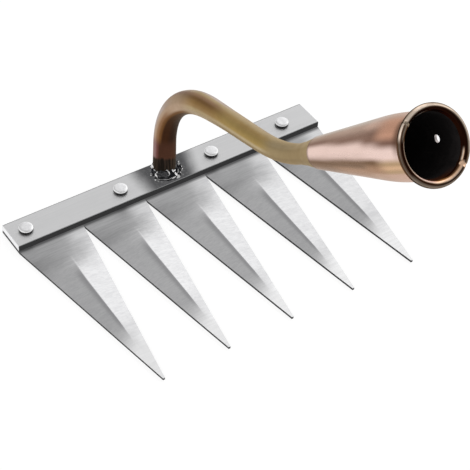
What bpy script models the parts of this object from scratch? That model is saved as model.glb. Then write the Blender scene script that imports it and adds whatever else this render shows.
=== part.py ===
"""Weeding rake head: a five-toothed blade riveted under a flat bar, a bent neck and a handle socket.

Metres, +Z up. X runs along the bar, the teeth point to -Y and the blade lies on Z = 0.
The origin is on the blade's underside, below the middle of the bar.
"""
import math

import bmesh
import bpy
from mathutils import Matrix, Vector

# Driving dimensions, in metres, with angles in radians

CLEARANCE = 0.0003              # between pieces that touch

BAR_LENGTH = 0.250
BAR_WIDTH = 0.024
BAR_THICKNESS = 0.005
BAR_EDGE_BEVEL = 0.0005

PLATE_THICKNESS = 0.0018
TOOTH_COUNT = 5
TOOTH_LENGTH = 0.145            # in front of the bar
TOOTH_POINT_WIDTH = 0.0014
FOLD_START = 0.016              # flat part of a tooth in front of the bar
FOLD_RUN = 0.028                # from there to the fold's full slope
FOLD_SLOPE = math.radians(11)   # of each flank
FOLD_CREST_WIDTH = 0.0014       # half the width of the rounded crest
FOLD_FADE = 0.020               # where the fold dies out towards the tip
TIP_FLAT = 0.031                # flat tip beyond the fold

RIVET_LEFT_INSET = 0.012        # first rivet from the bar's left end
RIVET_INNER_SPACING = 0.038     # middle rivets from the middle of the bar
RIVET_RIGHT_INSET = 0.025       # last rivet from the bar's right end
RIVET_HEAD_DIAMETER = 0.0096
RIVET_HEAD_HEIGHT = 0.0023
RIVET_HEAD_ROUNDING = 0.0009
RIVET_SHANK_DIAMETER = 0.005
RIVET_TAIL_DIAMETER = 0.0078
RIVET_TAIL_DEPTH = 0.0012

NECK_OFFSET = -0.002            # from the middle of the bar
NECK_FOOT_DIAMETER = 0.0167
NECK_WAIST_DIAMETER = 0.0130    # at the end of the second bend
NECK_END_DIAMETER = 0.0147      # where the shoulder starts
NECK_LEG = 0.0285               # straight, above the bar
NECK_BEND_RADIUS = 0.075
NECK_BEND_ANGLE = math.radians(75.5)
NECK_SPAN = 0.057               # straight, over the teeth
NECK_RISE_RADIUS = 0.100
NECK_RISE_ANGLE = math.radians(25.5)
NECK_LEAD = 0.0115              # straight, before the shoulder
NECK_SHOULDER_LENGTH = 0.013    # the swelling that carries the socket
NECK_SHOULDER_DIAMETER = 0.0195
NECK_SPIGOT_LENGTH = 0.008

WELD_LEG = 0.0034               # width on the bar
WELD_HEIGHT = 0.0048            # on the neck
WELD_UNEVENNESS = 0.10          # share by which the bead swells and shrinks
WELD_RIPPLES = 13

SOCKET_LENGTH = 0.119
SOCKET_END_DIAMETER = 0.0201
SOCKET_BODY_DIAMETER = 0.0378
SOCKET_BODY_LENGTH = 0.034      # straight part behind the mouth
SOCKET_BODY_BLEND = 0.010       # where the taper runs into it, on each side
SOCKET_WALL = 0.0015
SOCKET_FLARE_LENGTH = 0.006     # behind the rim
SOCKET_FLARE = 0.0011           # growth in radius there
RIM_RADIUS = 0.002              # of the rolled bead
RIM_DIAMETER = 0.0454
NAIL_HOLE_DIAMETER = 0.005
NAIL_HOLE_DEPTH = 0.0245        # behind the mouth
NAIL_HOLE_TURN = math.radians(-7.5)     # round the socket, from +X towards the teeth

# Counts of facets

ROUND_FACETS = 32
SOCKET_FACETS = 48
RIVET_FACETS = 24
RIM_FACETS = 12
WELD_FACETS = 52
FOLD_ROWS = 5
FLANK_ROWS = 3
FADE_ROWS = 5
FLANK_COLUMNS = (0.08, 0.28, 1.0)

# Levels and places that follow from the sizes

PLATE_TOP = PLATE_THICKNESS
BAR_BOTTOM = PLATE_TOP + CLEARANCE
BAR_TOP = BAR_BOTTOM + BAR_THICKNESS
RIVET_PLACES = (
    -BAR_LENGTH / 2 + RIVET_LEFT_INSET,
    -RIVET_INNER_SPACING,
    RIVET_INNER_SPACING,
    BAR_LENGTH / 2 - RIVET_RIGHT_INSET,
)


def material(name, colour, roughness, metallic=1.0):
    """A Principled material of one colour."""
    made = bpy.data.materials.new(name)
    made.use_nodes = True
    shader = made.node_tree.nodes["Principled BSDF"]
    shader.inputs["Base Color"].default_value = (*colour, 1.0)
    shader.inputs["Roughness"].default_value = roughness
    shader.inputs["Metallic"].default_value = metallic
    return made


def add_piece(name, bm, finish=None, sharp_angle=math.radians(35)):
    """Close a bmesh into a named object, faces outward, shaded smooth up to sharp_angle."""
    bmesh.ops.remove_doubles(bm, verts=bm.verts, dist=1e-7)
    bmesh.ops.recalc_face_normals(bm, faces=bm.faces)
    mesh = bpy.data.meshes.new(name)
    bm.to_mesh(mesh)
    bm.free()
    mesh.shade_smooth()
    mesh.set_sharp_from_angle(angle=sharp_angle)
    piece = bpy.data.objects.new(name, mesh)
    bpy.context.collection.objects.link(piece)
    if finish:
        mesh.materials.append(finish)
    return piece


def turned(profile, facets):
    """Turn an outline of (radius, height) points about Z; it is closed, or both its ends are on the axis."""
    bm = bmesh.new()
    verts = [bm.verts.new((radius, 0, height)) for radius, height in profile]
    edges = [bm.edges.new(pair) for pair in zip(verts, verts[1:])]
    if profile[0][0] > 0:
        edges.append(bm.edges.new((verts[-1], verts[0])))
    bmesh.ops.spin(bm, geom=verts + edges, axis=(0, 0, 1), cent=(0, 0, 0),
                   angle=math.tau, steps=facets, use_merge=True)
    return bm


def cut(piece, cutter):
    """Cut a piece by a cutter that is only shown as wires."""
    cutter.hide_render = True
    cutter.display_type = "WIRE"
    hole = piece.modifiers.new(cutter.name, "BOOLEAN")
    hole.operation = "DIFFERENCE"
    hole.solver = "EXACT"
    hole.object = cutter


def smoothstep(share):
    """Ease from 0 to 1."""
    share = min(max(share, 0.0), 1.0)
    return share * share * (3 - 2 * share)


def tooth_half_width(reach):
    """Half the width of a tooth at a distance in front of the bar."""
    root = BAR_LENGTH / TOOTH_COUNT / 2
    point = TOOTH_POINT_WIDTH / 2
    return root + (point - root) * reach / TOOTH_LENGTH


def fold_rise(reach, across):
    """Height of the pressed fold; across runs from 0 on the crest to 1 on the edge."""
    half = tooth_half_width(reach)
    growth = smoothstep((reach - FOLD_START) / FOLD_RUN)
    fade = smoothstep((TOOTH_LENGTH - TIP_FLAT - reach) / FOLD_FADE)
    crest = half * math.tan(FOLD_SLOPE) * growth * fade
    rounding = FOLD_CREST_WIDTH / half
    fall = (math.hypot(across, rounding) - rounding) / (math.hypot(1, rounding) - rounding)
    return crest * (1 - fall)


def build_blade(finish):
    """One plate: a root strip under the bar, and teeth whose middles are pressed up into a fold."""
    full_slope = FOLD_START + FOLD_RUN
    fade_start = TOOTH_LENGTH - TIP_FLAT - FOLD_FADE
    reaches = [-BAR_WIDTH, 0.0]
    reaches += [FOLD_START + FOLD_RUN * row / FOLD_ROWS for row in range(FOLD_ROWS + 1)]
    reaches += [full_slope + (fade_start - full_slope) * row / FLANK_ROWS
                for row in range(1, FLANK_ROWS + 1)]
    reaches += [fade_start + FOLD_FADE * row / FADE_ROWS for row in range(1, FADE_ROWS + 1)]
    reaches.append(TOOTH_LENGTH)
    columns = [-share for share in reversed(FLANK_COLUMNS)] + [0.0] + list(FLANK_COLUMNS)
    pitch = BAR_LENGTH / TOOTH_COUNT
    bm = bmesh.new()
    for tooth in range(TOOTH_COUNT):
        middle = (tooth + 0.5) * pitch - BAR_LENGTH / 2
        rows = []
        for reach in reaches:
            on_tooth = max(reach, 0.0)
            half = tooth_half_width(on_tooth)
            rows.append([bm.verts.new((middle + share * half, -BAR_WIDTH / 2 - reach,
                                       PLATE_TOP + fold_rise(on_tooth, abs(share))))
                         for share in columns])
        for near, far in zip(rows, rows[1:]):
            for k in range(len(columns) - 1):
                bm.faces.new((near[k], far[k], far[k + 1], near[k + 1]))
    bmesh.ops.remove_doubles(bm, verts=bm.verts, dist=1e-6)
    top = list(bm.faces)
    lower = bmesh.ops.extrude_face_region(bm, geom=top, use_keep_orig=True)
    lower_verts = [item for item in lower["geom"] if isinstance(item, bmesh.types.BMVert)]
    bmesh.ops.translate(bm, verts=lower_verts, vec=(0, 0, -PLATE_THICKNESS))
    return add_piece("toothed_blade", bm, finish, sharp_angle=math.radians(40))


def build_bar(finish):
    """The flat bar on top of the blade's root."""
    bm = bmesh.new()
    bmesh.ops.create_cube(bm, size=1.0)
    bmesh.ops.scale(bm, verts=bm.verts, vec=(BAR_LENGTH, BAR_WIDTH, BAR_THICKNESS))
    bmesh.ops.bevel(bm, geom=bm.edges[:], offset=BAR_EDGE_BEVEL, segments=2, profile=0.5,
                    affect="EDGES")
    bar = add_piece("back_bar", bm, finish)
    bar.location = (0, 0, (BAR_BOTTOM + BAR_TOP) / 2)
    return bar


def rivet_profile():
    """Half section of a rivet, from the flush tail up to the middle of its head."""
    shank = RIVET_SHANK_DIAMETER / 2
    head = RIVET_HEAD_DIAMETER / 2
    seat = BAR_TOP + CLEARANCE
    crown = seat + RIVET_HEAD_HEIGHT
    rounding = RIVET_HEAD_ROUNDING
    profile = [(0, 0), (RIVET_TAIL_DIAMETER / 2, 0), (shank, RIVET_TAIL_DEPTH), (shank, seat),
               (head - rounding / 3, seat), (head, seat + rounding / 3)]
    for step in range(4):
        turn = math.pi / 2 * step / 3
        profile.append((head - rounding + rounding * math.cos(turn),
                        crown - rounding + rounding * math.sin(turn)))
    return profile + [(0, crown)]


def rivet_hole_profile():
    """Half section of a rivet hole: straight through the bar, countersunk in the blade's underside."""
    shank = RIVET_SHANK_DIAMETER / 2 + CLEARANCE
    tail = RIVET_TAIL_DIAMETER / 2 + CLEARANCE
    below = -PLATE_THICKNESS
    above = BAR_TOP + BAR_THICKNESS
    return [(0, below), (tail, below), (tail, 0), (shank, RIVET_TAIL_DEPTH), (shank, above), (0, above)]


def build_rivets(finish, bar, blade):
    """Four rivets through the bar and the blade, and their holes."""
    for number, place in enumerate(RIVET_PLACES, start=1):
        rivet = add_piece(f"rivet_{number}", turned(rivet_profile(), RIVET_FACETS), finish)
        rivet.location = (place, 0, 0)
        hole = add_piece(f"rivet_hole_{number}", turned(rivet_hole_profile(), RIVET_FACETS))
        hole.location = (place, 0, 0)
        cut(bar, hole)
        cut(blade, hole)


def heading_vector(heading):
    """Unit vector in the neck's plane; heading is the lean from upright towards the teeth."""
    return Vector((0, -math.sin(heading), math.cos(heading)))


def neck_stations():
    """Middle line of the visible neck as (point, heading) pairs, foot first."""
    point = Vector((NECK_OFFSET, 0, BAR_TOP + CLEARANCE))
    heading = 0.0
    stations = [(point, heading)]

    def go_straight(length, steps):
        nonlocal point
        start = point
        for step in range(1, steps + 1):
            point = start + heading_vector(heading) * length * step / steps
            stations.append((point, heading))

    def go_round(radius, turn, steps):
        nonlocal point, heading
        signed = math.copysign(radius, turn)
        start, lean = point, heading
        centre = start + heading_vector(lean + math.pi / 2) * signed
        for step in range(1, steps + 1):
            heading = lean + turn * step / steps
            point = centre - heading_vector(heading + math.pi / 2) * signed
            stations.append((point, heading))

    go_straight(NECK_LEG, 2)
    go_round(NECK_BEND_RADIUS, NECK_BEND_ANGLE, 16)
    go_straight(NECK_SPAN, 3)
    go_round(NECK_RISE_RADIUS, -NECK_RISE_ANGLE, 7)
    waist = len(stations) - 1
    go_straight(NECK_LEAD, 3)
    go_straight(NECK_SHOULDER_LENGTH, 5)
    return stations, waist


def neck_diameters(stations, waist):
    """The rod thins from its foot to the waist, and swells through the lead and the shoulder."""
    lengths = [0.0]
    for (last, _), (point, _) in zip(stations, stations[1:]):
        lengths.append(lengths[-1] + (point - last).length)
    diameters = []
    for length in lengths:
        past_waist = length - lengths[waist]
        if past_waist <= 0:
            share = length / lengths[waist]
            near, far = NECK_FOOT_DIAMETER, NECK_WAIST_DIAMETER
        elif past_waist <= NECK_LEAD:
            share = smoothstep(past_waist / NECK_LEAD)
            near, far = NECK_WAIST_DIAMETER, NECK_END_DIAMETER
        else:
            share = ((past_waist - NECK_LEAD) / NECK_SHOULDER_LENGTH) ** 0.85
            near, far = NECK_END_DIAMETER, NECK_SHOULDER_DIAMETER
        diameters.append(near + (far - near) * share)
    return diameters


def add_ring(bm, centre, heading, radius):
    """A ring of vertices square to the neck's middle line."""
    across = heading_vector(heading + math.pi / 2)
    ring = []
    for facet in range(ROUND_FACETS):
        turn = math.tau * facet / ROUND_FACETS
        offset = Vector((1, 0, 0)) * math.cos(turn) + across * math.sin(turn)
        ring.append(bm.verts.new(centre + offset * radius))
    return ring


def build_neck(finish, stations, waist):
    """The bent rod, its shoulder, and the spigot that sits in the socket's small end."""
    bm = bmesh.new()
    rings = [add_ring(bm, point, heading, diameter / 2)
             for (point, heading), diameter in zip(stations, neck_diameters(stations, waist))]
    end, heading = stations[-1]
    tip = end + heading_vector(heading) * NECK_SPIGOT_LENGTH
    spigot = SOCKET_END_DIAMETER / 2 - SOCKET_WALL - CLEARANCE
    rings += [add_ring(bm, place, heading, spigot) for place in (end, tip)]
    for lower, upper in zip(rings, rings[1:]):
        for k in range(ROUND_FACETS):
            after = (k + 1) % ROUND_FACETS
            bm.faces.new((lower[k], lower[after], upper[after], upper[k]))
    bm.faces.new(rings[0])
    bm.faces.new(rings[-1])
    return add_piece("gooseneck", bm, finish, sharp_angle=math.radians(50))


def build_weld(finish):
    """The fillet of weld round the neck's foot, swelling and shrinking as a hand-laid bead does."""
    inner = NECK_FOOT_DIAMETER / 2 + CLEARANCE
    bottom = BAR_TOP + CLEARANCE
    bar_edge = BAR_WIDTH / 2 - BAR_EDGE_BEVEL
    arc_steps = 4
    bm = bmesh.new()
    sections = []
    for facet in range(WELD_FACETS):
        turn = math.tau * facet / WELD_FACETS
        swell = math.cos(WELD_RIPPLES * turn) + 0.6 * math.sin(3 * turn) + 0.4 * math.cos(5 * turn)
        size = 1 + WELD_UNEVENNESS * swell
        room = bar_edge / max(abs(math.sin(turn)), 0.5) - inner
        leg = min(WELD_LEG * size, room)
        section = [(inner, bottom)]
        for step in range(arc_steps + 1):
            lift = math.pi / 2 * step / arc_steps
            section.append((inner + leg * math.cos(lift) ** 0.8,
                            bottom + WELD_HEIGHT * size * math.sin(lift) ** 0.8))
        section[-1] = (inner, bottom + WELD_HEIGHT * size)
        spoke = Vector((math.cos(turn), math.sin(turn), 0))
        sections.append([bm.verts.new(spoke * radius + Vector((NECK_OFFSET, 0, height)))
                         for radius, height in section])
    for near, far in zip(sections, sections[1:] + sections[:1]):
        count = len(near)
        for k in range(count):
            after = (k + 1) % count
            bm.faces.new((near[k], far[k], far[after], near[after]))
    return add_piece("neck_weld", bm, finish, sharp_angle=math.radians(60))


def socket_radius(height):
    """Outer radius of the socket: straight taper, blend, straight body."""
    body_start = SOCKET_LENGTH - SOCKET_BODY_LENGTH
    body = SOCKET_BODY_DIAMETER / 2
    slope = (body - SOCKET_END_DIAMETER / 2) / body_start
    taper = SOCKET_END_DIAMETER / 2 + slope * height
    past_blend = height - (body_start - SOCKET_BODY_BLEND)
    if past_blend <= 0:
        return taper
    if height < body_start + SOCKET_BODY_BLEND:
        return taper - slope * past_blend ** 2 / (4 * SOCKET_BODY_BLEND)
    return body


def socket_profile():
    """Half section of the socket wall, up the outside, round the rim and down the inside."""
    body_start = SOCKET_LENGTH - SOCKET_BODY_LENGTH
    blend_start = body_start - SOCKET_BODY_BLEND
    blend_end = body_start + SOCKET_BODY_BLEND
    rim_height = SOCKET_LENGTH - RIM_RADIUS
    flare_start = rim_height - SOCKET_FLARE_LENGTH
    rim_middle = RIM_DIAMETER / 2 - RIM_RADIUS
    body = SOCKET_BODY_DIAMETER / 2

    blend_steps, flare_steps = 5, 3
    heights = [0.0]
    heights += [blend_start + (blend_end - blend_start) * step / blend_steps
                for step in range(blend_steps + 1)]
    outside = [(socket_radius(height), height) for height in heights]
    outside.append((body, flare_start))
    for step in range(1, flare_steps + 1):
        share = step / flare_steps
        outside.append((body + SOCKET_FLARE * share ** 2,
                        flare_start + (SOCKET_FLARE_LENGTH - RIM_RADIUS / 2) * share))

    rim = []
    for facet in range(RIM_FACETS * 3 // 4 + 1):
        turn = math.radians(-105) + math.tau * facet / RIM_FACETS
        rim.append((rim_middle + RIM_RADIUS * math.cos(turn), rim_height + RIM_RADIUS * math.sin(turn)))

    lip = rim_middle - RIM_RADIUS
    bore = body - SOCKET_WALL
    inside = []
    for step in range(flare_steps):
        share = 1 - step / flare_steps
        inside.append((bore + (lip - bore) * share ** 2, flare_start + SOCKET_FLARE_LENGTH * share))
    inside.append((bore, flare_start))
    inside += [(socket_radius(height) - SOCKET_WALL, height) for height in reversed(heights)]
    return outside + rim + inside


def build_socket(finish, end, heading):
    """The hollow socket on the neck's end, open at its rolled rim, with a nail hole in one side."""
    axis = bpy.data.objects.new("socket_axis", None)
    axis.location = end + heading_vector(heading) * CLEARANCE
    axis.rotation_euler = (heading, 0, 0)
    bpy.context.collection.objects.link(axis)
    socket = add_piece("handle_socket", turned(socket_profile(), SOCKET_FACETS), finish)
    socket.parent = axis

    bm = bmesh.new()
    radius = NAIL_HOLE_DIAMETER / 2
    bmesh.ops.create_cone(bm, cap_ends=True, segments=RIVET_FACETS, radius1=radius, radius2=radius,
                          depth=SOCKET_BODY_DIAMETER)
    bmesh.ops.rotate(bm, verts=bm.verts, cent=(0, 0, 0), matrix=Matrix.Rotation(math.pi / 2, 3, "Y"))
    bmesh.ops.translate(bm, verts=bm.verts, vec=(SOCKET_BODY_DIAMETER / 2 + radius, 0, 0))
    nail_hole = add_piece("nail_hole", bm)
    nail_hole.parent = axis
    nail_hole.location = (0, 0, SOCKET_LENGTH - NAIL_HOLE_DEPTH)
    nail_hole.rotation_euler = (0, 0, NAIL_HOLE_TURN)
    cut(socket, nail_hole)


for old in list(bpy.data.objects):
    bpy.data.objects.remove(old, do_unlink=True)

bright_steel = material("bright_steel", (0.56, 0.56, 0.57), 0.42)
brushed_steel = material("brushed_steel", (0.55, 0.55, 0.56), 0.34)
rivet_steel = material("rivet_steel", (0.78, 0.78, 0.79), 0.38)
bronzed_steel = material("bronzed_steel", (0.29, 0.22, 0.11), 0.34)
weld_metal = material("weld_metal", (0.16, 0.15, 0.15), 0.30)
copper_steel = material("copper_steel", (0.58, 0.36, 0.29), 0.30)

neck_line, neck_waist = neck_stations()
plate = build_blade(brushed_steel)
back_bar = build_bar(bright_steel)
build_rivets(rivet_steel, back_bar, plate)
build_neck(bronzed_steel, neck_line, neck_waist)
build_weld(weld_metal)
build_socket(copper_steel, *neck_line[-1])
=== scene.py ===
import math

import bmesh
import bpy
from mathutils import Matrix, Vector, noise


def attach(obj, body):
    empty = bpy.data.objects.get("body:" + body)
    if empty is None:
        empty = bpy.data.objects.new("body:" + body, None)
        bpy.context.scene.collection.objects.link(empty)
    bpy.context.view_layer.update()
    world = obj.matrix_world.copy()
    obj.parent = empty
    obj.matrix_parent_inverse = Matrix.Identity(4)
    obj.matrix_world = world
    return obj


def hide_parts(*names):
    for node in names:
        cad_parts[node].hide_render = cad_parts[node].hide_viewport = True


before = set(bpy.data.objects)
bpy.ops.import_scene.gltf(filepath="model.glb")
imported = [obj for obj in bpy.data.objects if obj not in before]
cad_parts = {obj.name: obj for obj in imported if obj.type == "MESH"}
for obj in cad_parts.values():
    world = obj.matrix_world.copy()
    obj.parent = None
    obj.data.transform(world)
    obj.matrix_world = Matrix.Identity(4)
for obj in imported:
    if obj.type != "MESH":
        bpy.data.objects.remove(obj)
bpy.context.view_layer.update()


# Toothed blade. One plate of 1.8 mm steel, sheared into five long teeth, with the middle of
# each tooth pressed up into a fold that dies out before the point. The faces are ground along
# the bar, the sheared edges stay dark, and the rivets are countersunk in the underside. Painted
# shade darkens the roots, the left of each crest and a patch on the right flanks, a painted
# shadow lies at the bar's foot, and the steel is painted lighter towards the left end.

PLATE_WIDTH = 0.250
ROOT_DEPTH = 0.024
PLATE_THICKNESS = 0.0018
TEETH = 5
TOOTH_LENGTH = 0.145
TOOTH_POINT_WIDTH = 0.0014
FOLD_START = 0.008
FOLD_RUN = 0.030
FOLD_SLOPE = math.radians(11)
FOLD_CREST_WIDTH = 0.0013
FOLD_FADE = 0.034
TIP_FLAT = 0.024
SHARP_START = 0.014             # the crest is round at the bar, sharp by SHARP_RUN further on
SHARP_RUN = 0.034
SHARP_END = 0.122               # and round again before the point
ROUND_CREST_WIDTH = 0.008
CREST_LEAD_IN = 0.0012          # the folds start this far to the right
CREST_OFFSETS = (-0.0003, 0.0013, 0.0009, -0.0005, -0.0011)     # the folds were pressed by eye
FOLDS_LONGER = (0.0, 0.006, 0.008, 0.009, 0.0)                  # some run on towards the point
RIDGE_HEIGHT = 0.00025          # the sharp crest left by the press tool
RIDGE_WIDTH = 0.0034
ROOT_CROWN = 0.0010             # the plate arches a little before the fold starts
ROOT_CROWN_RUN = 0.014
CREST_LEAVES = 0.010            # where an off-centre crest has left the middle
CREST_RETURNS = 0.030           # where it starts to come back, before the point
LEAD_IN_RUN = 0.024             # the lead-in holds for this length, and fades in the same
FOLDS_DIFFER = (0.05, 0.04, 0.14, 0.03)     # start, run, end and fade of where longer folds tell
TOOTH_ROWS = 64
TOOTH_SHARES = (0.0, 0.02, 0.045, 0.08, 0.12, 0.18, 0.26, 0.4, 0.6, 0.8, 0.93, 1.0)

GROUND_STEEL = (0.68, 0.68, 0.685)
DARK_GROUND_STEEL = (0.58, 0.58, 0.59)
CLOUDED_STEEL = (0.50, 0.50, 0.51)
PAINTED_SHADE_STEEL = (0.42, 0.42, 0.425)
DARK_PAINTED_SHADE_STEEL = (0.34, 0.34, 0.345)
SHADED_STEEL = (0.36, 0.36, 0.37)
POINT_STEEL = (0.84, 0.84, 0.845)
DARK_POINT_STEEL = (0.78, 0.78, 0.785)
PAINTED_BAR_SHADOW = (0.06, 0.06, 0.062)
SHEARED_STEEL = (0.014, 0.014, 0.015)
TORN_STEEL = (0.038, 0.038, 0.040)


def smoothstep(share):
    """Ease from 0 to 1."""
    share = min(max(share, 0.0), 1.0)
    return share * share * (3 - 2 * share)


def hump(value, start, run, end, fade):
    """Ease in over run after start, and out again over fade before end."""
    return smoothstep((value - start) / run) * smoothstep((end - value) / fade)


def tooth_half_width(reach):
    """Half the width of a tooth at a distance in front of the bar."""
    root = PLATE_WIDTH / TEETH / 2
    point = TOOTH_POINT_WIDTH / 2
    return root + (point - root) * reach / TOOTH_LENGTH


def plate_rise(reach, across, longer):
    """Height of the pressed shape; across runs from 0 on the crest to 1 on the edge."""
    half = tooth_half_width(reach)
    growth = smoothstep((reach - FOLD_START) / FOLD_RUN)
    fade = smoothstep((TOOTH_LENGTH - TIP_FLAT + longer - reach) / FOLD_FADE)
    sharpness = hump(reach, SHARP_START, SHARP_RUN, SHARP_END + longer, SHARP_RUN)
    crest = half * math.tan(FOLD_SLOPE) * growth * fade
    rounding = (ROUND_CREST_WIDTH + (FOLD_CREST_WIDTH - ROUND_CREST_WIDTH) * sharpness) / half
    fall = (math.hypot(across, rounding) - rounding) / (math.hypot(1, rounding) - rounding)
    ridge = RIDGE_HEIGHT * max(1 - across * half / RIDGE_WIDTH, 0.0) ** 2 * sharpness * fade
    crown = ROOT_CROWN * (1 - across ** 2) * smoothstep(reach / ROOT_CROWN_RUN) * (1 - growth)
    return crest * (1 - fall) + ridge + crown


def crest_shift(reach, tooth):
    """How far a tooth's crest lies to the right of its middle."""
    leave = min(reach / CREST_LEAVES, 1)
    comeback = min((TOOTH_LENGTH - reach) / CREST_RETURNS, 1)
    lead_in = CREST_LEAD_IN * (1 - smoothstep((reach - LEAD_IN_RUN) / LEAD_IN_RUN))
    return CREST_OFFSETS[tooth] * leave * comeback + lead_in


def add_piece(name, bm):
    """Turn a bmesh into a named object, as it is."""
    mesh = bpy.data.meshes.new(name)
    bm.to_mesh(mesh)
    bm.free()
    piece = bpy.data.objects.new(name, mesh)
    bpy.context.collection.objects.link(piece)
    return piece


def smooth(mesh, sharp_angle):
    """Shade a mesh smooth, apart from edges sharper than an angle in degrees."""
    mesh.shade_smooth()
    mesh.set_sharp_from_angle(angle=math.radians(sharp_angle))


def finish_mesh(name, bm, materials, sharp_angle):
    """Turn a bmesh into a named object with its faces outward, smooth up to sharp_angle."""
    bmesh.ops.remove_doubles(bm, verts=bm.verts, dist=1e-7)
    bmesh.ops.recalc_face_normals(bm, faces=bm.faces)
    piece = add_piece(name, bm)
    smooth(piece.data, sharp_angle)
    for material in materials:
        piece.data.materials.append(material)
    return piece


def turned(profile, facets, slots=None):
    """Turn an outline of (radius, height) points about Z; slots numbers a material for each edge."""
    bm = bmesh.new()
    rings = []
    for radius, height in profile:
        ring = []
        for facet in range(facets if radius else 1):
            turn = math.tau * facet / facets
            ring.append(bm.verts.new((radius * math.cos(turn), radius * math.sin(turn), height)))
        rings.append(ring)
    closed = profile[0][0] > 0
    followers = rings[1:] + rings[:1] if closed else rings[1:]
    for number, (lower, upper) in enumerate(zip(rings, followers)):
        for facet in range(facets):
            after = (facet + 1) % facets
            if len(lower) == 1:
                face = bm.faces.new((lower[0], upper[after], upper[facet]))
            elif len(upper) == 1:
                face = bm.faces.new((lower[facet], lower[after], upper[0]))
            else:
                face = bm.faces.new((lower[facet], lower[after], upper[after], upper[facet]))
            if slots:
                face.material_index = slots[number]
    return bm


def keep_result(piece):
    """Keep what a piece's modifiers make as its plain mesh."""
    evaluated = piece.evaluated_get(bpy.context.evaluated_depsgraph_get())
    mesh = bpy.data.meshes.new_from_object(evaluated)
    piece.modifiers.clear()
    piece.data = mesh
    mesh.name = piece.name


def cut_and_keep(piece, cutters, sharp_angle):
    """Cut a piece by cutters, keep the result as its mesh and remove the cutters."""
    for cutter in cutters:
        hole = piece.modifiers.new(cutter.name, "BOOLEAN")
        hole.operation = "DIFFERENCE"
        hole.solver = "EXACT"
        hole.object = cutter
    keep_result(piece)
    smooth(piece.data, sharp_angle)
    for cutter in cutters:
        bpy.data.objects.remove(cutter, do_unlink=True)


def feed(tree, socket, value):
    """Give a socket a value, or link the output of another node to it."""
    if isinstance(value, bpy.types.NodeSocket):
        tree.links.new(value, socket)
    elif socket.type == "RGBA":
        socket.default_value = (*value[:3], 1.0)
    else:
        socket.default_value = value


def put(tree, kind, settings=None, **inputs):
    """Add a node with its settings, and feed its inputs by name."""
    node = tree.nodes.new(kind)
    for name, value in (settings or {}).items():
        setattr(node, name, value)
    for name, value in inputs.items():
        feed(tree, node.inputs[name.replace("_", " ")], value)
    return node


def calc(tree, operation, *values):
    """A Math node on values or outputs."""
    node = put(tree, "ShaderNodeMath", {"operation": operation})
    for socket, value in zip(node.inputs, values):
        feed(tree, socket, value)
    return node.outputs[0]


def times(tree, first, *others):
    """Multiply values or outputs."""
    for other in others:
        first = calc(tree, "MULTIPLY", first, other)
    return first


def scaled(tree, vector, share):
    """A vector or a colour, times one value."""
    node = put(tree, "ShaderNodeVectorMath", {"operation": "SCALE"}, Scale=share)
    feed(tree, node.inputs[0], vector)
    return node.outputs[0]


def stretched(tree, vector, stretch):
    """A vector, times a stretch in X, Y and Z."""
    node = put(tree, "ShaderNodeVectorMath", {"operation": "MULTIPLY"})
    feed(tree, node.inputs[0], vector)
    feed(tree, node.inputs[1], stretch)
    return node.outputs[0]


def noise_at(tree, place, scale, detail, roughness, distortion=0.0):
    """A noise value at a place."""
    node = put(tree, "ShaderNodeTexNoise", Vector=place, Scale=scale, Detail=detail,
               Roughness=roughness, Distortion=distortion)
    return node.outputs["Fac"]


def ease(tree, value, low, high, start=0.0, end=1.0):
    """Ease from start to end while value goes from low to high."""
    node = put(tree, "ShaderNodeMapRange", {"interpolation_type": "SMOOTHSTEP"}, Value=value,
               From_Min=low, From_Max=high, To_Min=start, To_Max=end)
    return node.outputs["Result"]


def window(tree, value, rise, fall):
    """Ease in over rise and out over fall, each given from its outer end inward."""
    return times(tree, ease(tree, value, *rise), ease(tree, value, *fall))


def mix(tree, factor, first, second, mode="MIX"):
    """Mix two colours."""
    node = put(tree, "ShaderNodeMix", {"data_type": "RGBA", "blend_type": mode})
    for number, value in ((0, factor), (6, first), (7, second)):
        feed(tree, node.inputs[number], value)
    return node.outputs[2]


def layered(tree, colour, *layers):
    """Lay colours over a first one, each given with its mask."""
    for mask, layer in layers:
        colour = mix(tree, mask, colour, layer)
    return colour


def start_material(name):
    """A material with its node tree and its Principled shader."""
    material = bpy.data.materials.new(name)
    material.use_nodes = True
    tree = material.node_tree
    return material, tree, tree.nodes["Principled BSDF"]


def own_place(tree):
    """The place on the piece, in metres."""
    return put(tree, "ShaderNodeTexCoord").outputs["Object"]


def axes(tree, vector):
    """The X, Y and Z of a vector."""
    return put(tree, "ShaderNodeSeparateXYZ", Vector=vector).outputs


def attribute(tree, name, output="Fac"):
    """A value that the mesh carries."""
    return put(tree, "ShaderNodeAttribute", {"attribute_name": name}).outputs[output]


def shade_along(tree, colour, place, ends, shares):
    """Painted light: scale a colour along the bar, from one share to the other between two ends, so
    that a piece is lighter towards its left end.
    """
    share = put(tree, "ShaderNodeMapRange", Value=axes(tree, place)["X"], From_Min=ends[0],
                From_Max=ends[1], To_Min=shares[0], To_Max=shares[1])
    return scaled(tree, colour, share.outputs["Result"])


def set_surface(tree, shader, colour, roughness, metallic, bump):
    """Feed the shader; bump is a height, its strength and its distance."""
    for name, value in (("Base Color", colour), ("Roughness", roughness), ("Metallic", metallic)):
        feed(tree, shader.inputs[name], value)
    height, strength, distance = bump
    node = put(tree, "ShaderNodeBump", Height=height, Strength=strength, Distance=distance)
    tree.links.new(node.outputs["Normal"], shader.inputs["Normal"])


def start_tree(kind, name, inputs, outputs):
    """A node tree with inputs and outputs, each given as its name and its kind of socket."""
    tree = bpy.data.node_groups.new(name, kind)
    for side, sockets in (("INPUT", inputs), ("OUTPUT", outputs)):
        for label, socket in sockets.items():
            tree.interface.new_socket(label, in_out=side, socket_type="NodeSocket" + socket)
    entry = tree.nodes.new("NodeGroupInput")
    leave = tree.nodes.new("NodeGroupOutput")
    return tree, entry.outputs, leave.inputs


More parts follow.
